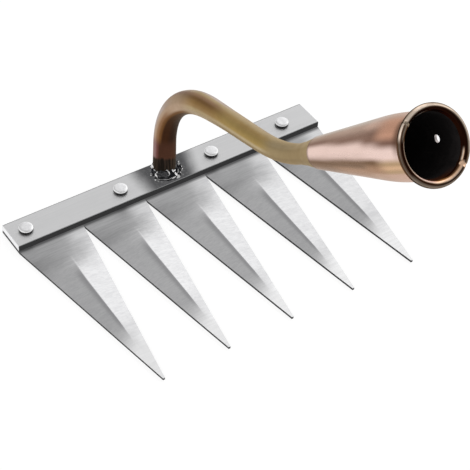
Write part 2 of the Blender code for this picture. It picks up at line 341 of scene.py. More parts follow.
def build_grain_group():
    """Fine parallel scratches: long in one direction, with a coarser streak under them."""
    group, given, wanted = start_tree("ShaderNodeTree", "fine grain", {
        "Coordinates": "Vector", "Stretch": "Vector"}, {"Shade": "Float", "Height": "Float"})
    place = stretched(group, given["Coordinates"], given["Stretch"])
    fine = noise_at(group, place, 1.0, 5.0, 0.7)
    coarse = noise_at(group, place, 0.3, 2.0, 0.5)
    both = calc(group, "MULTIPLY_ADD", coarse, 0.3, times(group, fine, 0.7))
    group.links.new(ease(group, both, 0.36, 0.64), wanted["Shade"])
    group.links.new(fine, wanted["Height"])
    return group


def build_smudge_group():
    """Soft cloudy patches."""
    group, given, wanted = start_tree("ShaderNodeTree", "smudges", {
        "Coordinates": "Vector", "Scale": "Float", "Low": "Float", "High": "Float"}, {"Mask": "Float"})
    clouds = noise_at(group, given["Coordinates"], given["Scale"], 4.0, 0.55, 0.4)
    group.links.new(ease(group, clouds, given["Low"], given["High"]), wanted["Mask"])
    return group


grain_group = build_grain_group()
smudge_group = build_smudge_group()


def grain(tree, coordinates, stretch):
    """Place the fine grain in a material."""
    return put(tree, "ShaderNodeGroup", {"node_tree": grain_group}, Coordinates=coordinates,
               Stretch=stretch).outputs


def smudges(tree, coordinates, scale, low, high):
    """Place the smudges in a material."""
    node = put(tree, "ShaderNodeGroup", {"node_tree": smudge_group}, Coordinates=coordinates,
               Scale=scale, Low=low, High=high)
    return node.outputs["Mask"]


def build_blade_steel():
    """Ground steel with fine scratches along the bar; painted shade at the root, beside the crests
    and on the right flanks, a painted shadow at the bar's foot, painted light along the bar, and
    lighter towards the points.
    """
    material, tree, shader = start_material("ground_blade_steel")
    place = own_place(tree)
    marks = grain(tree, place, (70, 1500, 1500))
    patches = smudges(tree, place, 26, 0.38, 0.66)
    reach = attribute(tree, "reach")
    across = attribute(tree, "across")
    right_side = ease(tree, across, -0.05, 0.12)
    right_of_crest = window(tree, across, (0.0, 0.08), (1.3, 0.3))
    left_of_crest = window(tree, across, (-0.34, -0.05), (0.03, -0.01))
    # Painted shade: the root is darker on its left and middle, and right of the crest where the fold
    # starts
    painted_root_shade = times(tree, ease(tree, reach, 0.036, 0.018), ease(tree, across, 0.75, 0.1))
    painted_fold_shade = times(tree, window(tree, reach, (0.006, 0.015), (0.044, 0.022)), right_of_crest, 0.8)
    # Painted shade: a darker band just left of each crest along the fold
    painted_crest_shade = times(tree, window(tree, reach, (0.028, 0.046), (0.110, 0.088)), left_of_crest, 0.62)
    # Painted shade: a darker patch on the right flanks towards the end of the fold
    painted_flank_shade = times(tree, window(tree, reach, (0.080, 0.097), (0.116, 0.100)), right_side, 0.28)
    # Lighter towards the points, starting a little sooner on the right side
    lighter_to_points = ease(tree, calc(tree, "MULTIPLY_ADD", right_side, -0.006, reach), 0.089, 0.118)
    # Painted shadow: dark at the foot of the bar, fading out over a few millimetres
    painted_crease_shade = ease(tree, reach, 0.0034, 0.0)
    colour = layered(
        tree, mix(tree, marks["Shade"], DARK_GROUND_STEEL, GROUND_STEEL),
        (times(tree, patches, 0.12), CLOUDED_STEEL),
        (calc(tree, "MAXIMUM", painted_root_shade, painted_fold_shade),
         mix(tree, marks["Shade"], DARK_PAINTED_SHADE_STEEL, PAINTED_SHADE_STEEL)),
        (painted_crest_shade, SHADED_STEEL),
        (painted_flank_shade, PAINTED_SHADE_STEEL),
        (lighter_to_points, mix(tree, marks["Shade"], DARK_POINT_STEEL, POINT_STEEL)),
        (times(tree, painted_crease_shade, 0.85), PAINTED_BAR_SHADOW))
    # Painted light: lighter towards the left end, darker towards the right
    falloff_shaded = shade_along(tree, colour, place, (-0.12, 0.12), (1.05, 0.89))
    roughness = calc(tree, "MULTIPLY_ADD", marks["Shade"], -0.05, 0.37)
    set_surface(tree, shader, falloff_shaded, roughness, 1.0, (marks["Height"], 0.05, 0.0002))
    return material


def build_sheared_steel():
    """Dark, slightly torn steel on sheared edges."""
    material, tree, shader = start_material("sheared_steel")
    marks = grain(tree, own_place(tree), (900, 900, 160))
    colour = mix(tree, marks["Shade"], SHEARED_STEEL, TORN_STEEL)
    roughness = calc(tree, "MULTIPLY_ADD", marks["Shade"], 0.15, 0.45)
    set_surface(tree, shader, colour, roughness, 0.6, (marks["Height"], 0.3, 0.0002))
    return material


def build_blade(materials):
    """The plate as one closed skin: the root strip under the bar, and the teeth."""
    reaches = [-ROOT_DEPTH, -ROOT_DEPTH / 2]
    reaches += [TOOTH_LENGTH * row / TOOTH_ROWS for row in range(TOOTH_ROWS + 1)]
    columns = [-share for share in reversed(TOOTH_SHARES[1:])] + list(TOOTH_SHARES)
    bm = bmesh.new()
    reach_layer = bm.loops.layers.float.new("reach")
    across_layer = bm.loops.layers.float.new("across")
    for tooth, longer in enumerate(FOLDS_LONGER):
        middle = (tooth + 0.5) * PLATE_WIDTH / TEETH - PLATE_WIDTH / 2
        rows = []
        for reach in reaches:
            on_tooth = max(reach, 0.0)
            half = tooth_half_width(on_tooth)
            row = []
            for share in columns:
                place = middle + share * half + crest_shift(on_tooth, tooth) * (1 - abs(share))
                height = PLATE_THICKNESS + plate_rise(on_tooth, abs(share), longer)
                row.append(bm.verts.new((place, -ROOT_DEPTH / 2 - reach, height)))
            rows.append(row)
        for row in range(len(rows) - 1):
            for k in range(len(columns) - 1):
                near, far = rows[row], rows[row + 1]
                face = bm.faces.new((near[k], far[k], far[k + 1], near[k + 1]))
                for loop, (down, side) in zip(face.loops, ((0, 0), (1, 0), (1, 1), (0, 1))):
                    reach = reaches[row + down]
                    loop[reach_layer] = reach - longer * hump(reach, *FOLDS_DIFFER)
                    loop[across_layer] = columns[k + side]
    bmesh.ops.remove_doubles(bm, verts=bm.verts, dist=1e-6)
    lower = bmesh.ops.extrude_face_region(bm, geom=list(bm.faces), use_keep_orig=True)
    lower_verts = [item for item in lower["geom"] if isinstance(item, bmesh.types.BMVert)]
    bmesh.ops.translate(bm, verts=lower_verts, vec=(0, 0, -PLATE_THICKNESS))
    bm.normal_update()
    for face in bm.faces:
        if abs(face.normal.z) < 0.5:
            face.material_index = 1
    return finish_mesh("blade", bm, materials, 40)


RIVET_PLACES = (-0.113, -0.038, 0.038, 0.100)
CLEARANCE = 0.0003
BAR_THICKNESS = 0.005
BAR_BOTTOM = PLATE_THICKNESS + CLEARANCE
BAR_TOP = BAR_BOTTOM + BAR_THICKNESS
RIVET_SHANK_DIAMETER = 0.005
RIVET_TAIL_DIAMETER = 0.0078
RIVET_TAIL_DEPTH = 0.0012
HOLE_FACETS = 32


def rivet_hole_cutters():
    """A cutter for each hole: straight through the bar, countersunk in the blade's underside."""
    shank = RIVET_SHANK_DIAMETER / 2 + CLEARANCE
    tail = RIVET_TAIL_DIAMETER / 2 + CLEARANCE
    below = -PLATE_THICKNESS
    above = BAR_TOP + BAR_THICKNESS
    profile = [(0, below), (tail, below), (tail, 0), (shank, RIVET_TAIL_DEPTH), (shank, above),
               (0, above)]
    cutters = []
    for number, place in enumerate(RIVET_PLACES, start=1):
        cutter = finish_mesh(f"rivet_hole_{number}", turned(profile, HOLE_FACETS), [], 30)
        cutter.location = (place, 0, 0)
        cutters.append(cutter)
    return cutters


blade_steel = build_blade_steel()
sheared_steel = build_sheared_steel()
blade = build_blade([blade_steel, sheared_steel])
cut_and_keep(blade, rivet_hole_cutters(), 40)
# Painted reflections: the copper and bronze bands of tone stand in for what they would reflect
blade.visible_glossy = False    # the copper and bronze carry their own bands of tone
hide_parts("toothed_blade")
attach(blade, "root")


# Back bar. A flat rolled steel bar, 24 by 5 mm, laid across the root of the blade. Its long
# edges keep their dark mill scale, darkened further on the front face as painted shade, with a
# painted highlight along the front top edge and a painted dark line by the back top edge. Its
# ends are ground, the weld's heat has darkened it on both sides of the neck, and it is painted
# lighter towards its left end.

BAR_WIDTH = 0.024
BAR_EDGE_BEVEL = 0.0005
EDGE_MARGIN = 0.0001            # faces beyond it belong to a long edge

BAR_STEEL = (0.64, 0.64, 0.645)
DRAWN_STEEL = (0.57, 0.57, 0.576)
BAR_HEAT = (0.092, 0.092, 0.096)
HEAT_SPECKS = (0.19, 0.19, 0.19)
MILL_SCALE = (0.030, 0.030, 0.031)
PAINTED_EDGE_HIGHLIGHT = (0.30, 0.30, 0.305)
GROUND_END = (0.86, 0.86, 0.87)


def build_bar_steel():
    """Rolled steel with fine drawing marks, dark long edges of mill scale darkened further as painted
    shade, a painted highlight on the front top edge, a painted shade line by the back edge, ground
    ends, a burnt middle, and painted light along the bar.
    """
    material, tree, shader = start_material("rolled_bar_steel")
    place = own_place(tree)
    split = axes(tree, place)
    marks = grain(tree, place, (25, 900, 900))
    patches = smudges(tree, place, 45, 0.42, 0.70)
    slanted = calc(tree, "MULTIPLY_ADD", split["Y"], -0.28, split["X"])
    left = ease(tree, calc(tree, "MULTIPLY_ADD", patches, 0.0015, split["X"]), -0.0285, -0.0125)
    right = ease(tree, calc(tree, "MULTIPLY_ADD", patches, 0.0015, slanted), 0.0285, 0.0135)
    burnt = times(tree, left, right)
    specks = smudges(tree, place, 650, 0.46, 0.70)
    # Painted shade: a dark line along the top by the back edge
    painted_back_edge_shade = ease(tree, split["Y"], BAR_WIDTH / 2 - 0.0012, BAR_WIDTH / 2 - 0.0007)
    colour = layered(
        tree, mix(tree, times(tree, marks["Shade"], 0.3), BAR_STEEL, DRAWN_STEEL),
        (times(tree, patches, 0.08), CLOUDED_STEEL),
        (burnt, BAR_HEAT),
        (times(tree, specks, burnt, 0.45), HEAT_SPECKS),
        # Mill scale on the long edges, darkened further as painted shade on the front face
        (attribute(tree, "long_edge"), MILL_SCALE),
        # Painted highlight along the front top edge
        (attribute(tree, "worn_line"), PAINTED_EDGE_HIGHLIGHT),
        (times(tree, painted_back_edge_shade, 0.25), MILL_SCALE),
        (attribute(tree, "bar_end"), GROUND_END))
    # Painted light: lighter towards the left end, darker towards the right
    falloff_shaded = shade_along(tree, colour, place, (-0.12, 0.08), (1.07, 0.92))
    roughness = calc(tree, "MULTIPLY_ADD", marks["Shade"], 0.04, 0.40)
    set_surface(tree, shader, falloff_shaded, roughness, 1.0, (marks["Height"], 0.05, 0.0002))
    return material


def build_bar(materials):
    """A bar with rolled edges, its long edge faces and its ends marked for the material."""
    bm = bmesh.new()
    bmesh.ops.create_cube(bm, size=1.0)
    bmesh.ops.scale(bm, verts=bm.verts, vec=(PLATE_WIDTH, BAR_WIDTH, BAR_THICKNESS))
    bmesh.ops.bevel(bm, geom=bm.edges[:], offset=BAR_EDGE_BEVEL, segments=3, profile=0.5, affect="EDGES")
    bmesh.ops.translate(bm, verts=bm.verts, vec=(0, 0, (BAR_BOTTOM + BAR_TOP) / 2))
    bar = finish_mesh("bar", bm, materials, 12)
    cut_and_keep(bar, rivet_hole_cutters(), 12)
    edge_line = BAR_WIDTH / 2 - BAR_EDGE_BEVEL
    end_line = PLATE_WIDTH / 2 - BAR_EDGE_BEVEL
    marked = {"long_edge": [], "worn_line": [], "bar_end": []}
    for face in bar.data.polygons:
        along, beside = abs(face.center.x), abs(face.center.y)
        on_edge = beside - edge_line > EDGE_MARGIN
        marked["long_edge"].append(float(on_edge))
        # The upward-facing bevel of the front top edge carries a painted highlight
        marked["worn_line"].append(float(on_edge and face.normal.y < -0.1 and face.normal.z > 0.45))
        marked["bar_end"].append(float(along > end_line and beside <= edge_line))
    for name, values in marked.items():
        bar.data.attributes.new(name, "FLOAT", "FACE").data.foreach_set("value", values)
    return bar


bar_steel = build_bar_steel()
bar = build_bar([bar_steel])
bar.visible_glossy = False
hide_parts("back_bar")
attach(bar, "root")


# Rivets. Four solid steel rivets with flat, slightly domed heads on the bar and tails set flush
# into the underside of the blade. The heads are bright, with a painted highlight round their top
# edge and painted shade low round their sides, and are painted lighter towards the left end.

RIVET_HEAD_DIAMETER = 0.0100
RIVET_HEAD_HEIGHT = 0.0026
RIVET_HEAD_ROUNDING = 0.0009
RIVET_DOME = 0.06               # share of the rounding
ROUNDING_STEPS = 8
RIVET_FACETS = 48

HEAD_STEEL = (0.78, 0.78, 0.79)
BRIGHT_HEAD_STEEL = (0.87, 0.87, 0.88)
DENTED_STEEL = (0.62, 0.62, 0.63)
PAINTED_HEAD_HIGHLIGHT = (0.95, 0.95, 0.95)
PAINTED_RIVET_SHADE = (0.006, 0.006, 0.0065)


def rivet_profile():
    """Half section of a rivet, from the flush tail up to the middle of its head."""
    shank = RIVET_SHANK_DIAMETER / 2
    head = RIVET_HEAD_DIAMETER / 2
    seat = BAR_TOP + CLEARANCE
    crown = seat + RIVET_HEAD_HEIGHT
    rounding = RIVET_HEAD_ROUNDING
    dome = rounding * RIVET_DOME
    profile = [(0, 0), (RIVET_TAIL_DIAMETER / 2, 0), (shank, RIVET_TAIL_DEPTH), (shank, seat),
               (head - rounding / 3, seat), (head, seat + rounding / 3)]
    for step in range(ROUNDING_STEPS):
        turn = math.pi / 2 * step / ROUNDING_STEPS
        profile.append((head - rounding + rounding * math.cos(turn),
                        crown - dome - rounding + rounding * math.sin(turn)))
    for share in (0.8, 0.6, 0.4, 0.2):
        profile.append(((head - rounding) * share, crown - dome * share ** 2))
    return profile + [(0, crown)]


def build_rivet_steel():
    """Bright head with hammer marks, a painted highlight round its top edge, and painted shade low on
    its side.
    """
    material, tree, shader = start_material("bright_rivet_steel")
    place = own_place(tree)
    height = axes(tree, place)["Z"]
    marks = grain(tree, place, (500, 900, 500))
    dents = smudges(tree, place, 320, 0.35, 0.70)
    seat = BAR_TOP + CLEARANCE
    crown = seat + RIVET_HEAD_HEIGHT
    # Painted highlight round the top edge of the head
    painted_head_edge_highlight = ease(tree, height, crown - 0.00005, crown - 0.00016)
    colour = layered(
        tree, mix(tree, marks["Shade"], HEAD_STEEL, BRIGHT_HEAD_STEEL),
        (times(tree, dents, 0.20), DENTED_STEEL),
        (times(tree, painted_head_edge_highlight, 0.8), PAINTED_HEAD_HIGHLIGHT),
        # Painted shade low on the side of the head
        (ease(tree, height, seat + 0.0016, seat + 0.0012), PAINTED_RIVET_SHADE))
    # Painted light: lighter towards the left end, darker towards the right
    falloff_shaded = shade_along(tree, colour, place, (-0.05, 0.10), (1.0, 0.88))
    roughness = calc(tree, "MULTIPLY_ADD", dents, 0.12, 0.30)
    set_surface(tree, shader, falloff_shaded, roughness, 1.0, (dents, 0.12, 0.0003))
    return material


def start_form(name, **inputs):
    """A Geometry Nodes tree with a geometry input, named inputs and a geometry output."""
    named = {"Geometry": "Geometry"}
    for label, socket in inputs.items():
        named[label.replace("_", " ")] = socket
    return start_tree("GeometryNodeTree", name, named, {"Geometry": "Geometry"})


def end_form(tree, geometry, material, wanted, rounded=False):
    """End a Geometry Nodes tree: real geometry, shaded smooth if rounded, with its material."""
    real = put(tree, "GeometryNodeRealizeInstances", Geometry=geometry)
    if rounded:
        real = put(tree, "GeometryNodeSetShadeSmooth", Geometry=real.outputs["Geometry"],
                   Shade_Smooth=True)
    dressed = put(tree, "GeometryNodeSetMaterial", Geometry=real.outputs["Geometry"], Material=material)
    tree.links.new(dressed.outputs["Geometry"], wanted["Geometry"])


def random_turn(tree, seed, most):
    """A turn for each point, at random up to the most about each axis."""
    turn = put(tree, "FunctionNodeRandomValue", {"data_type": "FLOAT_VECTOR"}, Seed=seed)
    turn.inputs[0].default_value = (0, 0, 0)
    turn.inputs[1].default_value = most
    return turn.outputs[0]


def form_mesh(piece, tree, values):
    """Run a Geometry Nodes tree on a piece and keep the result as its plain mesh."""
    modifier = piece.modifiers.new(tree.name, "NODES")
    modifier.node_group = tree
    for item in tree.interface.items_tree:
        if item.in_out == "INPUT" and item.name in values:
            modifier[item.identifier] = values[item.name]
    keep_result(piece)


def points_object(name, points, edges=()):
    """A mesh of loose points, or of a line through them."""
    mesh = bpy.data.meshes.new(name)
    mesh.from_pydata([tuple(point) for point in points], edges, [])
    piece = bpy.data.objects.new(name, mesh)
    bpy.context.collection.objects.link(piece)
    return piece


def build_rivet_row():
    """Geometry Nodes: one rivet on each point, each turned by its own amount."""
    tree, given, wanted = start_form("rivet row", Rivet="Object", Seed="Int", Steel="Material")
    pattern = put(tree, "GeometryNodeObjectInfo", Object=given["Rivet"])
    row = put(tree, "GeometryNodeInstanceOnPoints", Points=given["Geometry"],
              Instance=pattern.outputs["Geometry"],
              Rotation=random_turn(tree, given["Seed"], (0, 0, math.tau)))
    end_form(tree, row.outputs["Instances"], given["Steel"], wanted)
    return tree


rivet_steel = build_rivet_steel()
rivet_pattern = finish_mesh("rivet_pattern", turned(rivet_profile(), RIVET_FACETS), [rivet_steel], 50)
rivets = points_object("rivets", [(place, 0, 0) for place in RIVET_PLACES])
form_mesh(rivets, build_rivet_row(), {"Rivet": rivet_pattern, "Seed": 4, "Steel": rivet_steel})
bpy.data.objects.remove(rivet_pattern, do_unlink=True)
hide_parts("rivet_1", "rivet_2", "rivet_3", "rivet_4")
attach(rivets, "root")


# Gooseneck. A round steel rod, drawn down from 16.7 to 13 mm, bent over the teeth with the inside
# of its bend pressed thicker, and swelling again into the shoulder that carries the socket. Heat
# and lacquer leave it bronze and gold and black at the foot. Round the rod its tones also carry
# painted light and shade: pale and rosy on the left and outside, and dark on the right and under
# the bend, where heat tint is darkened further as painted shade.

NECK_OFFSET = -0.002            # the neck stands left of the bar's middle
NECK_FOOT_DIAMETER = 0.0167
NECK_WAIST_DIAMETER = 0.0130
NECK_END_DIAMETER = 0.0147
NECK_LEG = 0.0285
NECK_BEND_RADIUS = 0.075
NECK_BEND_ANGLE = math.radians(75.5)
NECK_SPAN = 0.057
NECK_RISE_RADIUS = 0.100
NECK_RISE_ANGLE = math.radians(25.5)
NECK_LEAD = 0.0115
NECK_SHOULDER_LENGTH = 0.013
NECK_SHOULDER_DIAMETER = 0.0195
NECK_SHOULDER_CURVE = 0.85      # the power by which the shoulder grows
NECK_SPIGOT_LENGTH = 0.008
NECK_SPIGOT_ENDS = (0.002, 1.0)     # as shares of its length past the shoulder
SOCKET_END_DIAMETER = 0.0201
SOCKET_WALL = 0.0015
NECK_STEP = 0.0014              # between rings
NECK_FACETS = 64
NECK_UNEVENNESS = 0.00012       # hollows left by hammer and heat
NECK_BULGE = 0.00065            # growth in radius inside the bend
NECK_BULGE_RUN = (0.050, 0.055, 0.152, 0.042)       # start, run, end and fade along the rod
NECK_BULGE_SHIFT = 1.25         # the bulge moves the middle line inward by this much of itself
NECK_SAG = 0.00035              # the straight run lies this much below its drawn line
NECK_SAG_RUN = (0.100, 0.026, 0.205, 0.040)


def heading_vector(heading):
    """Unit vector in the neck's plane; heading is the lean from upright towards the teeth."""
    return Vector((0, -math.sin(heading), math.cos(heading)))


def neck_line():
    """Middle line of the neck, foot first, as points, distances along it and the last heading."""
    point = Vector((NECK_OFFSET, 0, BAR_TOP + CLEARANCE))
    heading = 0.0
    points = [point]
    lengths = [0.0]
    runs = ((NECK_LEG, 0.0), (NECK_BEND_RADIUS, NECK_BEND_ANGLE), (NECK_SPAN, 0.0),
            (NECK_RISE_RADIUS, -NECK_RISE_ANGLE), (NECK_LEAD + NECK_SHOULDER_LENGTH, 0.0))
    for size, turn in runs:
        length = size * abs(turn) if turn else size
        steps = math.ceil(length / NECK_STEP)
        start = point
        begin = lengths[-1]
        lean = heading
        for step in range(1, steps + 1):
            if turn:
                signed = math.copysign(size, turn)
                centre = start + heading_vector(lean + math.pi / 2) * signed
                heading = lean + turn * step / steps
                point = centre - heading_vector(heading + math.pi / 2) * signed
            else:
                point = start + heading_vector(heading) * length * step / steps
            points.append(point)
            lengths.append(begin + length * step / steps)
    return points, lengths, heading


def neck_diameter(length, total):
    """The rod thins from its foot to the waist, and swells through the lead and the shoulder."""
    waist = total - NECK_LEAD - NECK_SHOULDER_LENGTH
    past_lead = length - waist - NECK_LEAD
    if length <= waist:
        return NECK_FOOT_DIAMETER + (NECK_WAIST_DIAMETER - NECK_FOOT_DIAMETER) * length / waist
    if past_lead <= 0:
        share = smoothstep((length - waist) / NECK_LEAD)
        return NECK_WAIST_DIAMETER + (NECK_END_DIAMETER - NECK_WAIST_DIAMETER) * share
    share = (past_lead / NECK_SHOULDER_LENGTH) ** NECK_SHOULDER_CURVE
    return NECK_END_DIAMETER + (NECK_SHOULDER_DIAMETER - NECK_END_DIAMETER) * share


def build_rod_form():
    """Geometry Nodes: a round bar along a line, with the line's own radius, and gently uneven.
    It keeps the distance along the line and the direction round it for the material."""
    tree, given, wanted = start_form("bent rod", Facets="Int", Unevenness="Float", Steel="Material")
    line = put(tree, "GeometryNodeMeshToCurve", Mesh=given["Geometry"])
    radius = put(tree, "GeometryNodeInputNamedAttribute", {"data_type": "FLOAT"}, Name="radius")
    ring = put(tree, "GeometryNodeCurvePrimitiveCircle", Resolution=given["Facets"], Radius=1.0)
    where = put(tree, "GeometryNodeInputPosition").outputs["Position"]
    marked = put(tree, "GeometryNodeStoreNamedAttribute", {"data_type": "FLOAT_VECTOR"},
                 Geometry=ring.outputs["Curve"], Name="ring", Value=where)
    rod = put(tree, "GeometryNodeCurveToMesh", Curve=line.outputs["Curve"], Fill_Caps=True,
              Profile_Curve=marked.outputs["Geometry"], Scale=radius.outputs["Attribute"])
    hollows = noise_at(tree, where, 55.0, 2.0, 0.5)
    normal = put(tree, "GeometryNodeInputNormal").outputs["Normal"]
    push = scaled(tree, normal, times(tree, hollows, given["Unevenness"], -1.0))
    uneven = put(tree, "GeometryNodeSetPosition", Geometry=rod.outputs["Mesh"], Offset=push)
    end_form(tree, uneven.outputs["Geometry"], given["Steel"], wanted)
    return tree


SOOT = (0.013, 0.010, 0.008)
PALE_SOOT = (0.045, 0.030, 0.022)
HEAT_AND_SHADE_DARK = (0.030, 0.013, 0.008)
BURNT_UMBER = (0.052, 0.020, 0.009)
OXBLOOD = (0.080, 0.034, 0.021)
WINE = (0.18, 0.070, 0.060)
DUSTY_ROSE = (0.34, 0.21, 0.21)
RUST_BRONZE = (0.19, 0.085, 0.030)
BRONZE = (0.31, 0.17, 0.09)
ROSE_BRONZE = (0.50, 0.37, 0.27)
PALE_BRONZE = (0.54, 0.47, 0.45)
ROSE_BROWN = (0.42, 0.31, 0.22)
GREY_BROWN = (0.30, 0.21, 0.18)
DARK_OLIVE = (0.275, 0.155, 0.065)
OLIVE = (0.34, 0.205, 0.08)
TARNISH = (0.37, 0.24, 0.11)
GREEN_GOLD = (0.45, 0.32, 0.12)
OLD_GOLD = (0.52, 0.36, 0.15)
ROSE_GOLD = (0.41, 0.255, 0.155)
KHAKI = (0.38, 0.29, 0.16)
DARK_KHAKI = (0.33, 0.25, 0.14)
STRAW = (0.47, 0.37, 0.22)
PALE_STRAW = (0.56, 0.46, 0.29)
SAND_BRONZE = (0.49, 0.40, 0.28)
ROSY_GLINT = (0.72, 0.66, 0.60)
GOLDEN_GLINT = (0.80, 0.72, 0.62)

# Shares of a turn round the rod: 0 and 1 under the arch, 0.25 on the left, 0.5 on the outside
# and 0.75 on the right. The tones round the rod are heat tints with painted light and shade in
# them: paler on the left and outside, darker on the right and under the arch.
LOW_LEG_TINTS = (
    (0.00, OXBLOOD), (0.16, OXBLOOD), (0.20, WINE), (0.25, DUSTY_ROSE), (0.60, DUSTY_ROSE),
    (0.75, BRONZE), (0.88, OXBLOOD))
LEG_TINTS = (
    (0.00, HEAT_AND_SHADE_DARK), (0.09, BURNT_UMBER), (0.13, BURNT_UMBER), (0.17, RUST_BRONZE), (0.215, BRONZE),
    (0.27, ROSE_BRONZE), (0.32, PALE_BRONZE), (0.60, ROSE_BRONZE), (0.78, BRONZE), (0.90, HEAT_AND_SHADE_DARK))
BEND_TINTS = (
    (0.00, HEAT_AND_SHADE_DARK), (0.11, BURNT_UMBER), (0.155, RUST_BRONZE), (0.20, ROSE_BRONZE), (0.26, ROSE_BRONZE),
    (0.31, ROSE_BROWN), (0.39, ROSE_BROWN), (0.45, GREY_BROWN), (0.50, PALE_BRONZE), (0.75, BRONZE),
    (0.95, HEAT_AND_SHADE_DARK))
SPAN_TINTS = (
    (0.00, OLIVE), (0.19, SAND_BRONZE), (0.25, STRAW), (0.30, TARNISH), (0.35, OLIVE),
    (0.40, DARK_OLIVE), (0.45, ROSE_GOLD), (0.51, STRAW), (0.56, PALE_BRONZE), (0.75, OLIVE))
RISE_TINTS = (
    (0.00, OLIVE), (0.20, DARK_KHAKI), (0.255, PALE_STRAW), (0.30, GREEN_GOLD), (0.36, GREEN_GOLD),
    (0.43, OLD_GOLD), (0.51, STRAW), (0.57, SAND_BRONZE), (0.75, OLIVE))
LEAD_TINTS = (
    (0.00, KHAKI), (0.20, DARK_KHAKI), (0.25, KHAKI), (0.35, KHAKI), (0.40, STRAW), (0.47, STRAW),
    (0.56, STRAW), (0.75, OLIVE), (1.00, KHAKI))
NECK_TINTS = (                  # where each set starts and is full along the rod
    (0.030, 0.040, LEG_TINTS), (0.060, 0.090, BEND_TINTS), (0.092, 0.116, SPAN_TINTS),
    (0.129, 0.156, RISE_TINTS), (0.188, 0.206, LEAD_TINTS))


def colour_steps(tree, factor, stops):
    """A colour ramp through (place, colour) stops."""
    node = tree.nodes.new("ShaderNodeValToRGB")
    node.color_ramp.interpolation = "EASE"
    elements = node.color_ramp.elements
    while len(elements) < len(stops):
        elements.new(0.5)
    for element, (place, colour) in zip(elements, sorted(stops)):
        element.position = place
        element.color = (*colour, 1.0)
    tree.links.new(factor, node.inputs["Fac"])
    return node.outputs["Color"]


def banded(tree, around, along, first, *further):
    """Colour stops round a piece that change along it; further gives (start, full, stops)."""
    colour = colour_steps(tree, around, first)
    for start, full, stops in further:
        colour = mix(tree, ease(tree, along, start, full), colour, colour_steps(tree, around, stops))
    return colour


def turn_of(tree, rise, run):
    """The direction of (run, rise) as a share of a turn, with 0.5 along run."""
    return calc(tree, "MULTIPLY_ADD", calc(tree, "ARCTAN2", rise, run), 1 / math.tau, 0.5)


def build_neck_bronze():
    """Heat tints with painted light and shade in them, changing along the rod and round it, drawing
    marks, and a black foot.
    """
    material, tree, shader = start_material("bronzed_neck_steel")
    place = own_place(tree)
    along = attribute(tree, "along")
    ring = axes(tree, attribute(tree, "ring", "Vector"))
    turn = turn_of(tree, ring["X"], ring["Y"])
    tints = banded(tree, turn, along, LOW_LEG_TINTS, *NECK_TINTS)
    patches = smudges(tree, place, 60, 0.40, 0.68)
    mottled = mix(tree, times(tree, patches, 0.15), tints, OLIVE, "MULTIPLY")
    around_front = calc(tree, "COSINE", times(tree, calc(tree, "SUBTRACT", turn, 0.10), math.tau))
    levelled = calc(tree, "MULTIPLY_ADD", around_front, -0.0045, along)
    runs = noise_at(tree, stretched(tree, place, (520, 520, 25)), 1.0, 3.0, 0.6)
    foot = ease(tree, calc(tree, "MULTIPLY_ADD", runs, 0.0050, levelled), 0.0196, 0.0165)
    soot = mix(tree, ease(tree, runs, 0.46, 0.66), SOOT, PALE_SOOT)
    marks = grain(tree, place, (900, 160, 160))
    roughness = calc(tree, "MULTIPLY_ADD", marks["Shade"], 0.06, 0.45)
    glint = mix(tree, ease(tree, along, 0.055, 0.095), ROSY_GLINT, GOLDEN_GLINT)
    feed(tree, shader.inputs["Specular Tint"], glint)
    set_surface(tree, shader, mix(tree, foot, mottled, soot), roughness, 1.0,
                (marks["Height"], 0.08, 0.0003))
    return material


neck_points, neck_lengths, neck_heading = neck_line()
neck_total = neck_lengths[-1]
neck_radii = [neck_diameter(length, neck_total) / 2 for length in neck_lengths]
neck_end = neck_points[-1]
for number in range(1, len(neck_points) - 1):
    swelling = NECK_BULGE * hump(neck_lengths[number], *NECK_BULGE_RUN)
    sag = NECK_SAG * hump(neck_lengths[number], *NECK_SAG_RUN)
    inward = (neck_points[number + 1] - neck_points[number - 1]).cross(Vector((-1, 0, 0))).normalized()
    neck_radii[number] += swelling
    neck_points[number] = neck_points[number] + inward * (swelling * NECK_BULGE_SHIFT + sag)
spigot_radius = SOCKET_END_DIAMETER / 2 - SOCKET_WALL - CLEARANCE
for share in NECK_SPIGOT_ENDS:
    neck_points.append(neck_end + heading_vector(neck_heading) * NECK_SPIGOT_LENGTH * share)
    neck_lengths.append(neck_total + NECK_SPIGOT_LENGTH * share)
    neck_radii.append(spigot_radius)
neck = points_object("neck", neck_points, [(k, k + 1) for k in range(len(neck_points) - 1)])
for name, values in (("radius", neck_radii), ("along", neck_lengths)):
    neck.data.attributes.new(name, "FLOAT", "POINT").data.foreach_set("value", values)
form_mesh(neck, build_rod_form(), {
    "Facets": NECK_FACETS, "Unevenness": NECK_UNEVENNESS, "Steel": build_neck_bronze()})
neck.visible_glossy = False
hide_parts("gooseneck")
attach(neck, "root")


# Weld. A hand-laid bead that fills the corner between the neck's foot and the bar. It is dark and
# glassy, wrinkled where the metal froze, with painted highlights along its wrinkles, and with
# drips and spatter on it and beside it whose bright colour is partly a painted highlight.

